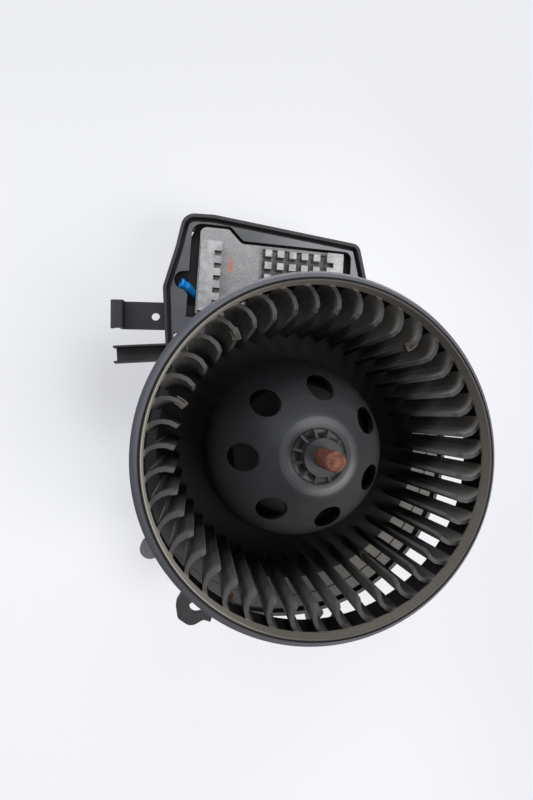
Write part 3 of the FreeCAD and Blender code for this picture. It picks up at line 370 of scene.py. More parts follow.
@dataclass(frozen=True)
class WheelPlastic:
    """Dark satin moulding with road dust: bluish outside through a painted sky reflection, taupe dust inside
    the mouth, with painted highlights and painted shade on blades, rim and hub.
    """

    moulded: Colour = (0.020, 0.0205, 0.023)
    worn: Colour = (0.030, 0.0305, 0.033)
    band: Colour = (0.055, 0.054, 0.071)
    pale_band: Colour = (0.092, 0.090, 0.108)
    shoulder_wear: Colour = (0.165, 0.165, 0.178)
    scuff: Colour = (0.30, 0.30, 0.31)
    face_dust: Colour = (0.200, 0.178, 0.154)
    face_grit: Colour = (0.105, 0.092, 0.078)
    lip_shade: Colour = (0.080, 0.071, 0.062)
    lip_dust: Colour = (0.360, 0.340, 0.305)
    blade_dust: Colour = (0.158, 0.151, 0.139)
    pale_blade_dust: Colour = (0.300, 0.285, 0.262)
    edge_wear: Colour = (0.092, 0.091, 0.089)
    hub_dust: Colour = (0.054, 0.054, 0.057)
    crest_wear: Colour = (0.205, 0.205, 0.212)
    recess_wall: Colour = (0.130, 0.130, 0.135)
    recess_floor: Colour = (0.36, 0.36, 0.37)
    gusset: Colour = (0.050, 0.050, 0.053)
    speck: Colour = (0.16, 0.155, 0.145)
    shade: Colour = (0.011, 0.011, 0.012)
    smoothest: float = 0.40
    roughest: float = 0.62
    specular: float = 0.28
    grain_height: float = 0.05 * MM

    def build(self) -> bpy.types.Material:
        """Builds the material, shaded by the wheel's own radius and by the depth below its top.

        Returns:
            The finished material.
        """
        g = Graph("wheel_plastic")
        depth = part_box("impeller")[1][2] - g.z
        grain = Grain(g.noise(24 * MM, 5), g.noise(1.1 * MM, 3), g.noise(0.35 * MM, 2))
        colour = g.mix(grain.cloud.over(0.3, 0.75) * 0.5, self.moulded, self.worn)
        colour, film_and_light = self._film(g, grain, depth, colour)
        colour = self._edges(g, grain, depth, colour)
        colour = self._band(g, grain, depth, colour)
        colour, face = self._mouth(g, grain, depth, colour)
        colour = self._hub(g, grain, depth, colour)
        colour, trough = self._shade(g, depth, colour)
        uneven = grain.cloud + grain.fine * 0.5
        rough = g.node("ShaderNodeMapRange", uneven, 0.3, 1.2, self.smoothest, self.roughest)
        rough = rough + face * 0.4 + film_and_light * 0.22 + trough * 0.4
        height = grain.fine * 0.5 + grain.grit * (face * 1.6 + 0.35)
        normal = g.bump(height, self.grain_height, 0.55, self._dome_normal(g))
        return g.finish(colour, rough.clamp(), normal, specular=self.specular)

    def _film(self, g: Graph, grain: Grain, depth: Signal, colour: Signal) -> tuple[Signal, Signal]:
        """Lays a thin brown coat of dust on the blades, with painted light and shade in its mask: it fades
        with depth as painted shade, is stronger on the left and near the top as painted light, and a painted
        highlight lightens the side faces at the right.

        Args:
            g: The graph.
            grain: Its noises.
            depth: The depth below the wheel's top.
            colour: The colour so far.

        Returns:
            The colour, and the mask of the dust with its painted light and shade.
        """
        tops = g.nz.over(0.3, 0.8)
        blades = g.radius.over(WHEEL.blade_tip - 3 * MM, WHEEL.blade_tip)
        # the dust mask carries painted light and shade: it fades with depth, is stronger on the left where
        # the light falls in, and is weaker on the tops
        film_and_light = blades * depth.over(70 * MM, 4 * MM) * (grain.cloud.over(0.25, 0.7) * 0.6 + 0.4)
        film_and_light = (film_and_light * (g.x.over(10 * MM, -60 * MM) * 0.6 + 1.05)).clamp()
        film_and_light = film_and_light * (1.0 - tops * (g.x.over(-45 * MM, 5 * MM) * 0.2 + 0.68))
        # painted light: more dust colour near the top lightens the faces between the blades
        near = depth.over(34 * MM, 8 * MM)
        cover = (grain.fine.over(0.2, 0.8) * 0.2 + near * 0.25 + 0.55).clamp()
        colour = g.mix(film_and_light * cover, colour, self.blade_dust)
        # painted highlight on the side faces of the blades at the right
        lit_from_right = film_and_light * g.x.over(0.0, 40 * MM) * g.y.over(-45 * MM, -5 * MM) * (1.0 - tops)
        return g.mix(lit_from_right * 0.7, colour, self.pale_blade_dust), film_and_light

    def _edges(self, g: Graph, grain: Grain, depth: Signal, colour: Signal) -> Signal:
        """Lightens the blades' sloping tops and their tips with wear and a painted highlight.

        Args:
            g: The graph.
            grain: Its noises.
            depth: The depth below the wheel's top.
            colour: The colour so far.

        Returns:
            The colour.
        """
        blades = g.radius.over(WHEEL.blade_tip - 3 * MM, WHEEL.blade_tip)
        below_top = depth - (g.radius - WHEEL.blade_tip) * WHEEL.top_slope() - WHEEL.tip_drop
        top_edge = below_top.over(0.7 * MM, 0.05 * MM) * blades * g.nz.over(0.5, 0.9)
        tip_edge = g.radius.within(WHEEL.blade_tip - 1 * MM, WHEEL.blade_tip + 0.45 * MM, 0.12 * MM)
        tip_edge = tip_edge * depth.over(45 * MM, 4 * MM)
        # wear with a painted highlight on the tops and tips, fading with depth
        rubbed = (top_edge * 0.3 + tip_edge * 0.46).clamp() * (grain.cloud.over(0.2, 0.7) * 0.6 + 0.4)
        return g.mix(rubbed, colour, self.edge_wear)

    def _band(self, g: Graph, grain: Grain, depth: Signal, colour: Signal) -> Signal:
        """Colours the band: bluish outside through a painted sky reflection, worn with a painted highlight on
        its shoulder, scuffed on one side and dark inside as painted shade.

        Args:
            g: The graph.
            grain: Its noises.
            depth: The depth below the wheel's top.
            colour: The colour so far.

        Returns:
            The colour.
        """
        past_mouth = g.radius.over(WHEEL.mouth + 0.5 * MM, WHEEL.mouth + 0.9 * MM)
        outward = ((g.nx * g.x + g.ny * g.y) / g.radius).over(-0.4, -0.1)
        outside = past_mouth * outward
        # painted shade on the band's inner side, past the mouth
        colour = g.mix(past_mouth * (1.0 - outward) * 0.9, colour, self.shade)
        # painted reflection: the band's bluish tint stands in for the sky reflected in it
        colour = g.mix(outside, colour, g.mix(grain.cloud * 0.6, self.band, self.pale_band))
        inner_slope = g.radius.over(WHEEL.rim_outer - 0.6 * MM, WHEEL.mouth + 1.2 * MM)
        # wear with a painted highlight on the upward shoulder, strongest on the left, weakest at the right
        # and the bottom
        shoulder = outside * inner_slope * g.nz.over(0.1, 0.5)
        shoulder = shoulder * (g.x.over(50 * MM, -20 * MM) * 0.8 + 0.2)
        shoulder = shoulder * (g.y.over(-60 * MM, -15 * MM) * 0.8 + 0.2)
        worn = shoulder * (grain.cloud.over(0.2, 0.8) * 0.4 + 0.4)
        colour = g.mix(worn, colour, self.shoulder_wear)
        scuffed = outside * g.radius.over(WHEEL.rim_outer - 2.2 * MM, WHEEL.rim_outer - 0.7 * MM)
        scuffed = scuffed * g.y.over(55 * MM, 74 * MM) * (grain.fine.over(0.3, 0.6) * 0.6 + 0.3)
        scuffed = scuffed * depth.over(6.6 * MM, 5.4 * MM) * g.nz.over(0.1, 0.4)
        return g.mix(scuffed, colour, self.scuff)

    def _mouth(self, g: Graph, grain: Grain, depth: Signal, colour: Signal) -> tuple[Signal, Signal]:
        """Cakes the mouth's face with dust, palest at the left where a painted highlight lies on its walls
        and lip, paints shade on the lip towards the right, and keeps the groove round its lip dark as painted
        shade.

        Args:
            g: The graph.
            grain: Its noises.
            depth: The depth below the wheel's top.
            colour: The colour so far.

        Returns:
            The colour, and the face's mask.
        """
        lip = g.radius.over(WHEEL.mouth - 0.30 * MM, WHEEL.mouth - 0.45 * MM) * depth.over(1.0 * MM, 0.2 * MM)
        face = g.radius.within(WHEEL.mouth - 1.6 * MM, WHEEL.mouth + 0.35 * MM, 0.1 * MM)
        face = face * depth.over(WHEEL.face_drop + 1.2 * MM, WHEEL.face_drop + 0.2 * MM)
        caked = g.mix(grain.grit.over(0.35, 0.7) * 0.6, self.face_dust, self.face_grit)
        colour = g.mix(face * (grain.fine.over(0.1, 0.5) * 0.35 + 0.62), colour, caked)
        colour = g.mix(lip * g.x.over(-50 * MM, 0.0) * 0.7, colour, self.lip_shade)
        # painted highlight with the dust: the walls and lip at the left, which face the light, are made pale
        caked_and_lit_left = (face * (1.0 - g.nz.over(0.3, 0.6)) + lip).clamp() * g.x.over(-15 * MM, -70 * MM)
        colour = g.mix(caked_and_lit_left * 0.85, colour, self.lip_dust)
        # painted shade: the groove round the lip is kept the bare dark moulding
        groove = g.radius.within(WHEEL.mouth - 0.38 * MM, WHEEL.mouth + 1.1 * MM, 0.1 * MM)
        groove = groove * depth.over(2.6 * MM, 2.2 * MM)
        return g.mix(groove * 0.85, colour, self.moulded), face

    def _hub(self, g: Graph, grain: Grain, depth: Signal, colour: Signal) -> Signal:
        """Dusts what faces the inlet, thinner towards the right, lightens the crest round the boss with wear
        and painted highlights, paints light into the recess and paints shade on the gussets' tops.

        Args:
            g: The graph.
            grain: Its noises.
            depth: The depth below the wheel's top.
            colour: The colour so far.

        Returns:
            The colour.
        """
        inside = g.radius.over(WHEEL.dome_foot + 1 * MM, WHEEL.dome_foot - 3 * MM)
        settled = inside * g.nz.over(0.1, 0.95) * (grain.cloud.over(0.3, 0.8) * 0.45 + 0.3)
        settled = settled * (1.0 - g.x.over(14 * MM, 40 * MM) * 0.8)
        colour = g.mix(settled, colour, self.hub_dust)

        crest = g.radius.within(WHEEL.crest - 0.5 * MM, WHEEL.crest + 3.0 * MM, 3.2 * MM)
        crest = crest * g.nz.over(0.2, 0.9)
        # painted highlights on the crest, at the top and the lower right, over a little even wear
        upper_gloss = (g.y / g.radius).over(0.55, 1.0) * 0.35
        lower_gloss = ((g.x * 0.5 - g.y * 0.87) / g.radius).over(0.45, 1.0) * 0.65
        wear_and_painted_gloss = (upper_gloss + lower_gloss) * (grain.cloud.over(0.2, 0.7) * 0.3 + 0.7) + 0.12
        colour = g.mix(crest * inside * wear_and_painted_gloss, colour, self.crest_wear)

        recess = g.radius.within(WHEEL.boss, WHEEL.crest - 1.4 * MM, 0.3 * MM)
        sunk = (depth - WHEEL.shoulder_drop).over(0.0, 0.6 * MM)
        # painted light in the recess, whose floor and walls lie in shade
        sunk_tone = g.mix(g.nz.over(0.5, 0.9), self.recess_wall, self.recess_floor)
        colour = g.mix(recess * sunk * 0.9, colour, sunk_tone)
        # painted shade on the gussets' tops
        colour = g.mix(recess * (1.0 - sunk) * g.nz.over(0.4, 0.8) * 0.9, colour, self.gusset)
        return g.mix(g.specks(2.3 * MM, 0.09) * inside * 0.35, colour, self.speck)

    def _shade(self, g: Graph, depth: Signal, colour: Signal) -> tuple[Signal, Signal]:
        """Paints shade on the roots of the blades and in the trough round the dome, deep inside the wheel.

        Args:
            g: The graph.
            depth: The depth below the wheel's top.
            colour: The colour so far.

        Returns:
            The colour, and the trough's mask.
        """
        roots = depth.over(34 * MM, 66 * MM) * g.radius.over(WHEEL.mouth, WHEEL.blade_tip - 2 * MM)
        roots = roots * (g.y.over(-60 * MM, -20 * MM) * 0.5 + 0.1)
        trough = g.radius.over(WHEEL.dome_foot - 4 * MM, WHEEL.dome_foot + 2 * MM)
        trough = depth.over(40 * MM, 62 * MM) * trough * 0.9
        return g.mix((roots + trough).clamp(), colour, self.shade), trough

    def _dome_normal(self, g: Graph) -> Signal:
        """Turns the dome's normals to those of the arc that its steps follow.

        Args:
            g: The graph.

        Returns:
            The arc's normal on the dome, and the surface's own elsewhere.
        """
        lean = (g.radius - WHEEL.dome_shoulder) * (1.0 / WHEEL.dome_curve) + WHEEL.dome_lean
        rise = (1.0 - lean * lean).clamp() ** 0.5
        pairs = ((g.nx, g.x / g.radius * lean), (g.ny, g.y / g.radius * lean), (g.nz, rise))
        likeness = sum(own * turned for own, turned in pairs)
        past_shoulder = g.radius.over(WHEEL.dome_shoulder, WHEEL.dome_shoulder + 2 * MM)
        before_foot = g.radius.over(WHEEL.dome_foot + 0.2 * MM, WHEEL.dome_foot - 0.2 * MM)
        on_dome = likeness.over(0.955, 0.98) * past_shoulder * before_foot
        joined = g.node("ShaderNodeCombineXYZ", *[own + (turned - own) * on_dome for own, turned in pairs])
        return g.node("ShaderNodeVectorTransform", joined, vector_type="NORMAL", convert_from="OBJECT",
                      convert_to="WORLD")


@dataclass(frozen=True)
class FlangePlastic:
    """Matt black moulding of the flange; what faces the inlet is grey with dust, with painted light on the
    right and painted shade under the wheel's left side.
    """

    moulded: Colour = (0.020, 0.020, 0.022)
    worn: Colour = (0.040, 0.040, 0.043)
    dust: Colour = (0.056, 0.054, 0.053)
    pale_dust: Colour = (0.175, 0.165, 0.148)
    shelf: Colour = (0.118, 0.120, 0.127)
    lit_shelf: Colour = (0.250, 0.250, 0.262)
    lobe_dust: Colour = (0.150, 0.150, 0.158)
    speck: Colour = (0.28, 0.27, 0.25)
    rubbed: Colour = (0.16, 0.16, 0.165)
    roughness: float = 0.5
    specular: float = 0.45
    grain_height: float = 0.04 * MM

    def build(self) -> bpy.types.Material:
        """Builds the material, dusted by facing and by place.

        Returns:
            The finished material.
        """
        g = Graph("flange_plastic")
        grain = Grain(g.noise(17 * MM, 5), g.noise(0.9 * MM, 3), g.noise(0.3 * MM, 2))
        up = g.nz.over(0.6, 0.95)
        disc = g.radius.over(PLATE.bead + 0.6 * MM, PLATE.bead - 0.4 * MM)
        disc = disc * g.radius.over(PLATE.cup - 5 * MM, PLATE.cup + 5 * MM) * g.y.over(62 * MM, 52 * MM)
        colour = g.mix(grain.cloud.over(0.35, 0.75) * 0.35, self.moulded, self.worn)
        colour = self._plate(g, grain, up * disc, colour)
        colour = self._tray(g, grain, up, colour)
        top_edges = up * g.z.over(-0.7 * MM, -0.2 * MM) * grain.fine.over(0.3, 0.7)
        colour = g.mix(top_edges * 0.22, colour, self.rubbed)
        rough = (grain.fine * 0.2 + self.roughness + up * disc * 0.25).clamp()
        normal = g.bump(grain.fine * 0.5 + grain.grit * 0.6, self.grain_height, 0.5)
        return g.finish(colour, rough, normal, specular=self.specular)

    def _plate(self, g: Graph, grain: Grain, plate: Signal, colour: Signal) -> Signal:
        """Dusts the round plate, with a painted highlight that makes it palest at the right, and painted
        shade that leaves it dark under the wheel's left side.

        Args:
            g: The graph.
            grain: Its noises.
            plate: The plate's mask.
            colour: The colour so far.

        Returns:
            The colour.
        """
        # painted light: the plate is made lighter towards the right, where the light falls under the wheel
        lit_from_right = g.x.over(0.0, 55 * MM) * (grain.fine.over(0.2, 0.7) * 0.3 + 0.7)
        settled = g.mix(lit_from_right, self.dust, self.pale_dust)
        under_wheel = g.radius.over(PLATE.under_wheel + 4 * MM, PLATE.under_wheel - 4 * MM)
        # painted shade: the plate under the wheel's left side is kept dark
        shaded_under_wheel = g.x.over(-15 * MM, -45 * MM) * under_wheel
        cover = (grain.cloud.over(0.2, 0.7) * 0.35 + 0.62) * (1.0 - shaded_under_wheel * 0.85)
        return g.mix(plate * cover, colour, settled)

    def _tray(self, g: Graph, grain: Grain, up: Signal, colour: Signal) -> Signal:
        """Dusts the shelf round the heat sink, with painted light that makes it lighter towards the right,
        dusts the lobe, and scatters pale specks.

        Args:
            g: The graph.
            grain: Its noises.
            up: The mask of what faces the inlet.
            colour: The colour so far.

        Returns:
            The colour.
        """
        tray = up * g.y.over(PLATE.tray_edge - 4 * MM, PLATE.tray_edge + 4 * MM)
        tray = tray * g.z.within(PLATE.tray_low, PLATE.tray_high, 0.2 * MM)
        tray_tone = g.mix(g.x.over(-25 * MM, 30 * MM), self.shelf, self.lit_shelf)
        colour = g.mix(tray * (grain.cloud.over(0.1, 0.8) * 0.3 + 0.7), colour, tray_tone)
        lobe = up * g.radius.over(PLATE.bead, PLATE.bead + 1 * MM)
        lobe = lobe * g.x.over(PLATE.lobe_right + 4 * MM, PLATE.lobe_right - 4 * MM)
        lobe = lobe * g.y.over(PLATE.lobe_top + 7.5 * MM, PLATE.lobe_top - 7.5 * MM)
        colour = g.mix(lobe * 0.8, colour, self.lobe_dust)
        return g.mix(g.specks(3.1 * MM, 0.06) * up * 0.5, colour, self.speck)


@dataclass(frozen=True)
class CastAluminium:
    """Grey cast metal with a fine speckle, dark between its pins with dirt and painted shade, a painted
    highlight on its tops, and one orange paint mark.
    """

    cast: Colour = (0.43, 0.425, 0.43)
    shade: Colour = (0.20, 0.198, 0.20)
    pale: Colour = (0.56, 0.545, 0.52)
    crown: Colour = (0.60, 0.595, 0.60)
    grime: Colour = (0.085, 0.083, 0.082)
    mark: Colour = (0.66, 0.19, 0.13)
    metallic: float = 0.55
    roughness: float = 0.42
    grain_height: float = 0.14 * MM

    def build(self) -> bpy.types.Material:
        """Builds the material, with the mark placed in the heat sink's own axes.

        Returns:
            The finished material.
        """
        g = Graph("cast_aluminium")
        along, across = math.cos(SINK.turn), math.sin(SINK.turn)
        u = g.x * along + g.y * across
        v = g.y * along - g.x * across
        grain = Grain(g.noise(6 * MM, 4), g.noise(0.8 * MM, 3), g.noise(0.28 * MM, 2))
        speckle = grain.fine.over(0.36, 0.64) * 0.5 + grain.grit.over(0.38, 0.66) * 0.5
        colour = g.mix(speckle.clamp(), self.cast, self.shade)
        colour = g.mix(grain.cloud.over(0.45, 0.8) * 0.3, colour, self.pale)

        # painted shade, with some dirt: the sides of pins and ridges and the low floor between the pins are
        # darkened
        side = g.nz.over(0.75, 0.3)
        field = u.over(SINK.field_left - 1 * MM, SINK.field_left + 1 * MM) * g.z.over(1.5 * MM, -0.5 * MM)
        grimy_and_shaded = side * 0.5 + field * 0.45 + g.z.over(-0.6 * MM, -1.4 * MM) * 0.55
        colour = g.mix(grimy_and_shaded.clamp(), colour, self.grime)
        # painted highlight on the up-facing faces nearest the top
        crown = (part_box("heat_sink")[1][2] - g.z).over(0.9 * MM, 0.3 * MM) * g.nz.over(0.5, 0.9)
        colour = g.mix(crown * (grain.cloud.over(0.35, 0.62) * 0.5 + 0.2), colour, self.crown)

        mark = self._mark(g, grain, u, v)
        colour = g.mix(mark * (grain.fine.over(0.2, 0.5) * 0.4 + 0.6), colour, self.mark)
        rough = (grain.fine * 0.25 + self.roughness + side * 0.2).clamp()
        normal = g.bump(grain.fine + grain.grit * 0.8, self.grain_height, 0.95)
        return g.finish(colour, rough, normal, metallic=(1 - mark) * self.metallic)

    def _mark(self, g: Graph, grain: Grain, u: Signal, v: Signal) -> Signal:
        """Masks the hand-painted mark, which widens downwards and has ragged sides.

        Args:
            g: The graph.
            grain: Its noises.
            u: The place across the heat sink.
            v: The place along it, away from the wheel.

        Returns:
            The mark's mask.
        """
        ragged = (grain.grit - 0.5) * (0.6 * MM)
        half = (SINK.mark_top - v) * SINK.mark_widening() + SINK.mark_top_half + ragged
        mark = (half - (u - SINK.mark_middle).magnitude()).over(-0.25 * MM, 0.25 * MM)
        return mark * v.within(SINK.mark_foot, SINK.mark_top, 0.25 * MM) * g.nz.over(0.5, 0.8)


@dataclass(frozen=True)
class RustySteel:
    """The shaft: bare steel under an even orange-brown rust."""

    rust: Colour = (0.190, 0.062, 0.036)
    dark: Colour = (0.062, 0.024, 0.016)
    pale: Colour = (0.29, 0.125, 0.078)
    end_ring_inner: float = 2.2 * MM
    end_ring_outer: float = 3.0 * MM
    metallic: float = 0.25
    specular: float = 0.4
    grain_height: float = 0.1 * MM

    def build(self) -> bpy.types.Material:
        """Builds the material, with a darker ring on the shaft's end.

        Returns:
            The finished material.
        """
        g = Graph("rusty_steel")
        grain = Grain(g.noise(2.6 * MM, 5), g.noise(0.7 * MM, 3), g.noise(0.22 * MM, 2))
        colour = g.mix(grain.cloud.over(0.35, 0.65), self.rust, self.dark)
        colour = g.mix(grain.fine.over(0.5, 0.75) * 0.8, colour, self.pale)
        ring = g.radius.within(self.end_ring_inner, self.end_ring_outer, 0.2 * MM) * g.nz.over(0.5, 0.9)
        colour = g.mix(ring * 0.55, colour, self.dark)
        normal = g.bump(grain.fine + grain.grit, self.grain_height, 0.9)
        rough = (grain.fine * 0.3 + 0.5).clamp()
        return g.finish(colour, rough, normal, metallic=self.metallic, specular=self.specular)


@dataclass(frozen=True)
class Plain:
    """A simple finish: one colour varied by noise, with fine grain."""

    name: str
    colour: Colour
    varied: Colour
    roughness: float = 0.5
    metallic: float = 0.0
    grain: float = 1.0 * MM
    coat: float = 0.0
    grain_height: float = 0.03 * MM

    def build(self) -> bpy.types.Material:
        """Builds the material.

        Returns:
            The finished material.
        """
        g = Graph(self.name)
        coarse, fine = g.noise(self.grain * 9, 4), g.noise(self.grain, 3)
        colour = g.mix(coarse.over(0.3, 0.7) * 0.6 + fine.over(0.4, 0.8) * 0.3, self.colour, self.varied)
        rough = (fine * 0.2 + self.roughness - 0.08).clamp()
        normal = g.bump(fine, self.grain_height, 0.5)
        return g.finish(colour, rough, normal, metallic=self.metallic, coat=self.coat)


PLAIN_FINISHES = (
    # can_steel is kept near black as painted shade: the can shows only deep in shade through the hub's holes
    Plain("can_steel", (0.030, 0.027, 0.025), (0.020, 0.014, 0.011), 0.65, 0.2),
    Plain("core_steel", (0.20, 0.20, 0.21), (0.11, 0.10, 0.10), 0.45, 0.9),
    Plain("winding_wire", (0.44, 0.15, 0.06), (0.30, 0.09, 0.04), 0.35, 0.5, 0.4 * MM),
    Plain("copper_bars", (0.55, 0.25, 0.12), (0.36, 0.16, 0.08), 0.3, 0.9),
    Plain("sintered_bronze", (0.36, 0.24, 0.11), (0.24, 0.15, 0.07), 0.45, 0.9),
    Plain("ferrite", (0.045, 0.045, 0.05), (0.07, 0.07, 0.075), 0.55),
    Plain("card_plastic", (0.15, 0.09, 0.045), (0.10, 0.06, 0.03), 0.55),
    Plain("carbon", (0.025, 0.025, 0.025), (0.05, 0.05, 0.05), 0.6),
    Plain("holder_brass", (0.58, 0.42, 0.16), (0.42, 0.29, 0.11), 0.35, 0.9),
    Plain("mount_rubber", (0.022, 0.022, 0.022), (0.045, 0.044, 0.042), 0.75),
    Plain("tinned_brass", (0.58, 0.56, 0.49), (0.42, 0.40, 0.34), 0.32, 0.9),
    Plain("board_laminate", (0.03, 0.13, 0.06), (0.02, 0.09, 0.04), 0.4),
    Plain("chip_plastic", (0.02, 0.02, 0.02), (0.035, 0.035, 0.035), 0.5),
    Plain("screw_steel", (0.38, 0.38, 0.37), (0.22, 0.20, 0.18), 0.38, 0.9),
    Plain("blue_sleeve", (0.004, 0.37, 1.0), (0.003, 0.26, 0.90), 0.32, 0.0, 0.6 * MM, 0.3),
    Plain("dry_leaf", (0.120, 0.062, 0.026), (0.045, 0.024, 0.012), 0.75, 0.0, 0.8 * MM),
    Plain("clip_steel", (0.13, 0.115, 0.10), (0.085, 0.050, 0.032), 0.5, 0.5, 0.5 * MM),
)


class Dresser:
    """Gives every node of the frame its finish."""

    def __init__(self, frame: dict) -> None:
        """Reads the frame's nodes and builds the finishes.
        """
        self.nodes = frame["nodes"]
        self.slots = {part["node"]: part["material_slot"] for part in frame["record"]["subparts"]}
        self.materials = {
            "wheel_plastic": WheelPlastic().build(),
            "flange_plastic": FlangePlastic().build(),
            "cast_aluminium": CastAluminium().build(),
            "rusty_steel": RustySteel().build(),
            **{finish.name: finish.build() for finish in PLAIN_FINISHES},
        }

    def dress(self) -> None:
        """Puts each node's material in its slots."""
        for name, item in self.nodes.items():
            material = self.materials[self.slots[name]]
            if not item.material_slots:
                item.data.materials.append(material)
            for slot in item.material_slots:
                slot.material = material
            log.info("dressed %s in %s", name, material.name)


def add_piece(name: str, mesh: bmesh.types.BMesh, body: Body,
              *materials: bpy.types.Material) -> bpy.types.Object:
    """Turns a finished mesh into a piece that rides on a body.

    Args:
        name: The piece's name.
        mesh: Its mesh, which is freed.
        body: The body it rides on.
        materials: Its materials, in slot order.

    Returns:
        The piece.
    """
    data = bpy.data.meshes.new(name)
    mesh.to_mesh(data)
    mesh.free()
    for material in materials:
        data.materials.append(material)
    item = bpy.data.objects.new(name, data)
    bpy.context.scene.collection.objects.link(item)
    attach(item, body.value)
    log.info("added %s", name)
    return item


@dataclass(frozen=True)
class LeafFragment:
    """A dry leaf fragment caught on the flange's dusty plate under the wheel."""

    azimuth: float = math.radians(249.0)
    skew: float = math.radians(38)
    radius: float = 93.5 * MM
    plate: float = -1.45 * MM
    length: float = 10.5 * MM
    width: float = 4.2 * MM
    thickness: float = 0.18 * MM
    low_fold: float = 0.9 * MM
    high_fold: float = 1.5 * MM
    folds: float = 2.3
    rows: int = 9
    across: tuple[float, ...] = (0.0, 0.3, 0.55, 0.8, 1.0)
    seed: int = 5

    def build(self, material: bpy.types.Material) -> bpy.types.Object:
        """Makes the crumpled, torn strip.

        Args:
            material: The leaf's finish.

        Returns:
            The leaf, riding on the housing.
        """
        rng = random.Random(self.seed)
        mesh = bmesh.new()
        rows = [self._row(mesh, rng, row / (self.rows - 1)) for row in range(self.rows)]
        for lower, upper in zip(rows, rows[1:]):
            for index in range(len(lower) - 1):
                mesh.faces.new((lower[index], lower[index + 1], upper[index + 1], upper[index]))
        bmesh.ops.solidify(mesh, geom=mesh.faces[:], thickness=self.thickness)
        turn = Matrix.Rotation(self.azimuth + self.skew, 3, "Z")
        bmesh.ops.rotate(mesh, verts=mesh.verts, matrix=turn)
        spoke = (math.cos(self.azimuth), math.sin(self.azimuth))
        place = Vector((self.radius * spoke[0], self.radius * spoke[1], self.plate))
        bmesh.ops.translate(mesh, verts=mesh.verts, vec=place)
        return add_piece("leaf_fragment", mesh, Body.HOUSING, material)

    def _row(self, mesh: bmesh.types.BMesh, rng: random.Random, along: float) -> list[bmesh.types.BMVert]:
        """One row of points across the leaf, raised along its middle.

        Args:
            mesh: The leaf's mesh.
            rng: The source of its ragged shape.
            along: The row's place as a share of the leaf's length.

        Returns:
            The row's points.
        """
        span = self.width * math.sin(math.pi * (0.12 + 0.8 * along)) * rng.uniform(0.6, 1.15)
        lift = self.low_fold + self.high_fold * math.sin(self.folds * math.pi * along) ** 2
        return [mesh.verts.new((self.length * (along - 0.5), span * (share - 0.5),
                                lift * (1 - abs(2 * share - 1)) + rng.uniform(0.05, 0.5) * MM))
                for share in self.across]


@dataclass(frozen=True)
class CrimpSleeve:
    """The blue sleeve on the motor lead's end: a flared mouth, a crimped waist and a bent tail."""

    route: tuple[Point, ...] = (
        (-61.9 * MM, 95.9 * MM, -3.9 * MM), (-59.3 * MM, 95.1 * MM, -5.0 * MM),
        (-56.0 * MM, 93.2 * MM, -6.8 * MM), (-51.6 * MM, 88.8 * MM, -9.9 * MM))
    profile: tuple[tuple[float, float], ...] = (
        (0.00, 2.85), (0.05, 3.05), (0.14, 2.95), (0.22, 2.50), (0.34, 2.42), (0.40, 2.72), (0.47, 2.72),
        (0.53, 2.40), (0.75, 2.35), (1.00, 2.30))
    bore: float = 2.05 * MM
    bore_depth: float = 0.26
    pin: float = 1.15 * MM
    pin_end: float = 0.35
    sides: int = 28

    def build(self, sleeve: bpy.types.Material, metal: bpy.types.Material) -> bpy.types.Object:
        """Makes the sleeve with the lead's end inside its mouth.

        Args:
            sleeve: The blue plastic.
            metal: The lead's bare end.

        Returns:
            The sleeve, standing for the frame's sleeve and lead end.
        """
        mesh = bmesh.new()
        outer = [self._ring(mesh, along, radius * MM) for along, radius in self.profile]
        inner = [self._ring(mesh, share * self.bore_depth, self.bore) for share in (0.0, 0.5, 1.0)]
        core = [self._ring(mesh, self.bore_depth * share, self.pin) for share in (1.0, self.pin_end)]
        self._bridge(mesh, list(reversed(outer)) + inner, 0)
        self._bridge(mesh, [inner[-1], *core], 1)
        mesh.faces.new(core[-1]).material_index = 1
        mesh.faces.new(outer[-1])
        bmesh.ops.recalc_face_normals(mesh, faces=mesh.faces)
        for face in mesh.faces:
            face.smooth = len(face.verts) == 4
        item = add_piece("crimp_sleeve", mesh, Body.HOUSING, sleeve, metal)
        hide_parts("terminal_sleeve", "lead_terminal")
        return item

    def _place(self, along: float) -> tuple[Vector, Vector]:
        """Finds a place on the cubic route.

        Args:
            along: The place as a share of the route.

        Returns:
            The point and the route's direction there.
        """
        start, first, second, end = (Vector(point) for point in self.route)
        back = 1.0 - along
        point = (start * back ** 3 + first * (3 * back ** 2 * along) + second * (3 * back * along ** 2)
                 + end * along ** 3)
        slope = ((first - start) * back ** 2 + (second - first) * (2 * back * along)
                 + (end - second) * along ** 2)
        return point, slope.normalized()

    def _ring(self, mesh: bmesh.types.BMesh, along: float, radius: float) -> list[bmesh.types.BMVert]:
        """Adds a ring of points square to the route.

        Args:
            mesh: The sleeve's mesh.
            along: The ring's place as a share of the route.
            radius: Its radius.

        Returns:
            The ring's points, in order.
        """
        point, direction = self._place(along)
        side = direction.cross(Vector((0, 0, 1))).normalized()
        lift = side.cross(direction)
        turns = [2 * math.pi * index / self.sides for index in range(self.sides)]
        return [mesh.verts.new(point + (side * math.cos(turn) + lift * math.sin(turn)) * radius)
                for turn in turns]

    def _bridge(self, mesh: bmesh.types.BMesh, rings: Sequence[list[bmesh.types.BMVert]], slot: int) -> None:
        """Joins each ring to the next with four-sided faces.

        Args:
            mesh: The sleeve's mesh.
            rings: The rings, in order.
            slot: The faces' material slot.
        """
        for first, second in zip(rings, rings[1:]):
            for index in range(self.sides):
                beside = (index + 1) % self.sides
                face = mesh.faces.new((first[index], first[beside], second[beside], second[index]))
                face.material_index = slot


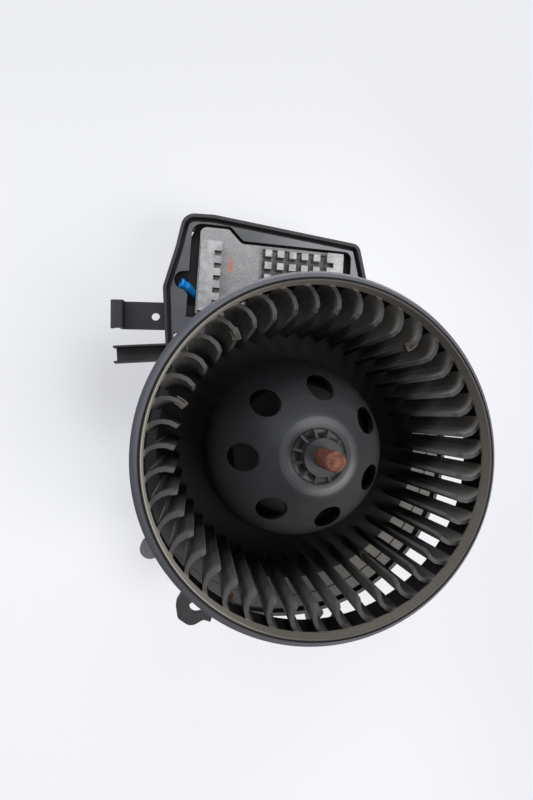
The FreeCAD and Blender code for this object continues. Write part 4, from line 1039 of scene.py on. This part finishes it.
@dataclass(frozen=True)
class Lamp:
    """A square area light aimed at the part's middle."""

    name: str
    place: Point
    size: float
    power: float
    colour: Colour
    aim: Point = (0, 0, 30 * MM)

    def build(self) -> None:
        """Adds the light."""
        light = bpy.data.lights.new(self.name, "AREA")
        light.shape = "SQUARE"
        light.size = self.size
        light.energy = self.power
        light.color = self.colour
        item = bpy.data.objects.new(self.name, light)
        item.location = self.place
        item.rotation_euler = (Vector(self.aim) - Vector(self.place)).to_track_quat("-Z", "Y").to_euler()
        bpy.context.scene.collection.objects.link(item)


LAMPS = (
    Lamp("key", (0.62, -0.34, 0.90), 0.6, 10.8, (1.0, 0.99, 0.97)),
    Lamp("front", (-0.10, 0.0, 1.05), 0.7, 1.3, (1.0, 1.0, 1.0)),
    Lamp("fill", (-0.85, 0.75, 0.62), 0.8, 8.0, (0.90, 0.94, 1.0)),
    Lamp("top", (0.15, 0.95, 0.75), 0.6, 5.0, (0.97, 0.98, 1.0)),
)


@dataclass(frozen=True)
class PaleFloor:
    """The glowing white floor, darkened a little far away by painted shade and beside the wheel by a painted
    shadow.
    """

    height: float
    half_side: float = 4.0
    paper: Colour = (0.82, 0.82, 0.85)
    bright_paper: Colour = (0.86, 0.86, 0.885)
    far_paper: Colour = (0.60, 0.60, 0.625)
    shaded_paper: Colour = (0.33, 0.33, 0.37)
    shade_x: float = -98 * MM
    shade_y: float = 42 * MM
    shade_reach: float = 56 * MM
    shade_core: float = 8 * MM
    glow: Colour = (0.925, 0.930, 0.960)
    glow_share: float = 0.6

    def build(self) -> None:
        """Adds the floor as part of the stage."""
        low, high = -self.half_side, self.half_side
        corners = [(low, low, self.height), (high, low, self.height), (high, high, self.height),
                   (low, high, self.height)]
        mesh = bpy.data.meshes.new("floor")
        mesh.from_pydata(corners, [], [(0, 1, 2, 3)])
        mesh.materials.append(self._material())
        item = bpy.data.objects.new("floor", mesh)
        bpy.context.scene.collection.objects.link(item)
        item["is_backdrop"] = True

    def _material(self) -> bpy.types.Material:
        """Mixes lit paper with a glow for what the camera sees of it.

        Returns:
            The floor's finish.
        """
        g = Graph("pale_floor")
        near = g.mix(g.noise(160 * MM, 3), self.paper, self.bright_paper)
        # painted shadow on the floor beside the wheel
        beside_wheel = (g.x - self.shade_x).hypot(g.y - self.shade_y).over(self.shade_reach, self.shade_core)
        near = g.mix(beside_wheel, near, self.shaded_paper)
        # painted shade: the floor darkens towards the right and the top
        away = (g.x.over(40 * MM, 260 * MM) + g.y.over(60 * MM, 300 * MM)).clamp()
        lit = g.node("ShaderNodeBsdfDiffuse", g.mix(away, near, self.far_paper))
        glow = g.node("ShaderNodeEmission", self.glow, 1.0)
        seen = [g.node("ShaderNodeLightPath", out=name)
                for name in ("Is Camera Ray", "Is Glossy Ray", "Is Transmission Ray")]
        share = (seen[0] + seen[1] + seen[2]).clamp() * self.glow_share
        g.output(g.node("ShaderNodeMixShader", share, lit, glow))
        return g.material


@dataclass(frozen=True)
class Studio:
    """The pale floor, the soft light and the camera."""

    floor_height: float
    sky: Colour = (0.93, 0.95, 1.0)
    sky_strength: float = 0.17

    def build(self) -> None:
        """Adds the floor, the lights, the sky and the camera."""
        PaleFloor(self.floor_height).build()
        for lamp in LAMPS:
            lamp.build()
        world = bpy.data.worlds.new("studio")
        world.use_nodes = True
        background = world.node_tree.nodes["Background"]
        background.inputs["Color"].default_value = (*self.sky, 1.0)
        background.inputs["Strength"].default_value = self.sky_strength
        bpy.context.scene.world = world
        self._camera()

    def _camera(self) -> None:
        """Adds the photograph's camera and makes it the scene's."""
        data = bpy.data.cameras.new("photo")
        data.sensor_width = CAMERA.sensor_mm
        data.sensor_fit = "AUTO"
        data.lens = CAMERA.focal_px * CAMERA.sensor_mm / CAMERA.long_side_px
        data.clip_start = CAMERA.nearest
        item = bpy.data.objects.new("photo", data)
        backward = -Vector(CAMERA.forward)
        turn = Matrix((CAMERA.right, CAMERA.up, backward)).transposed().to_4x4()
        item.matrix_world = Matrix.Translation(CAMERA.place) @ turn
        bpy.context.scene.collection.objects.link(item)
        bpy.context.scene.camera = item
        bpy.context.scene.view_settings.view_transform = "Standard"


def main() -> None:
    """Loads the frame, dresses it, adds what it leaves out and sets the stage."""
    logging.basicConfig(level=logging.INFO)
    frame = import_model()
    cad_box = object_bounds()
    dresser = Dresser(frame)
    dresser.dress()
    LeafFragment().build(dresser.materials["dry_leaf"])
    CrimpSleeve().build(dresser.materials["blue_sleeve"], dresser.materials["copper_bars"])
    Studio(cad_box[0][2]).build()


if __name__ == "__main__":
    main()
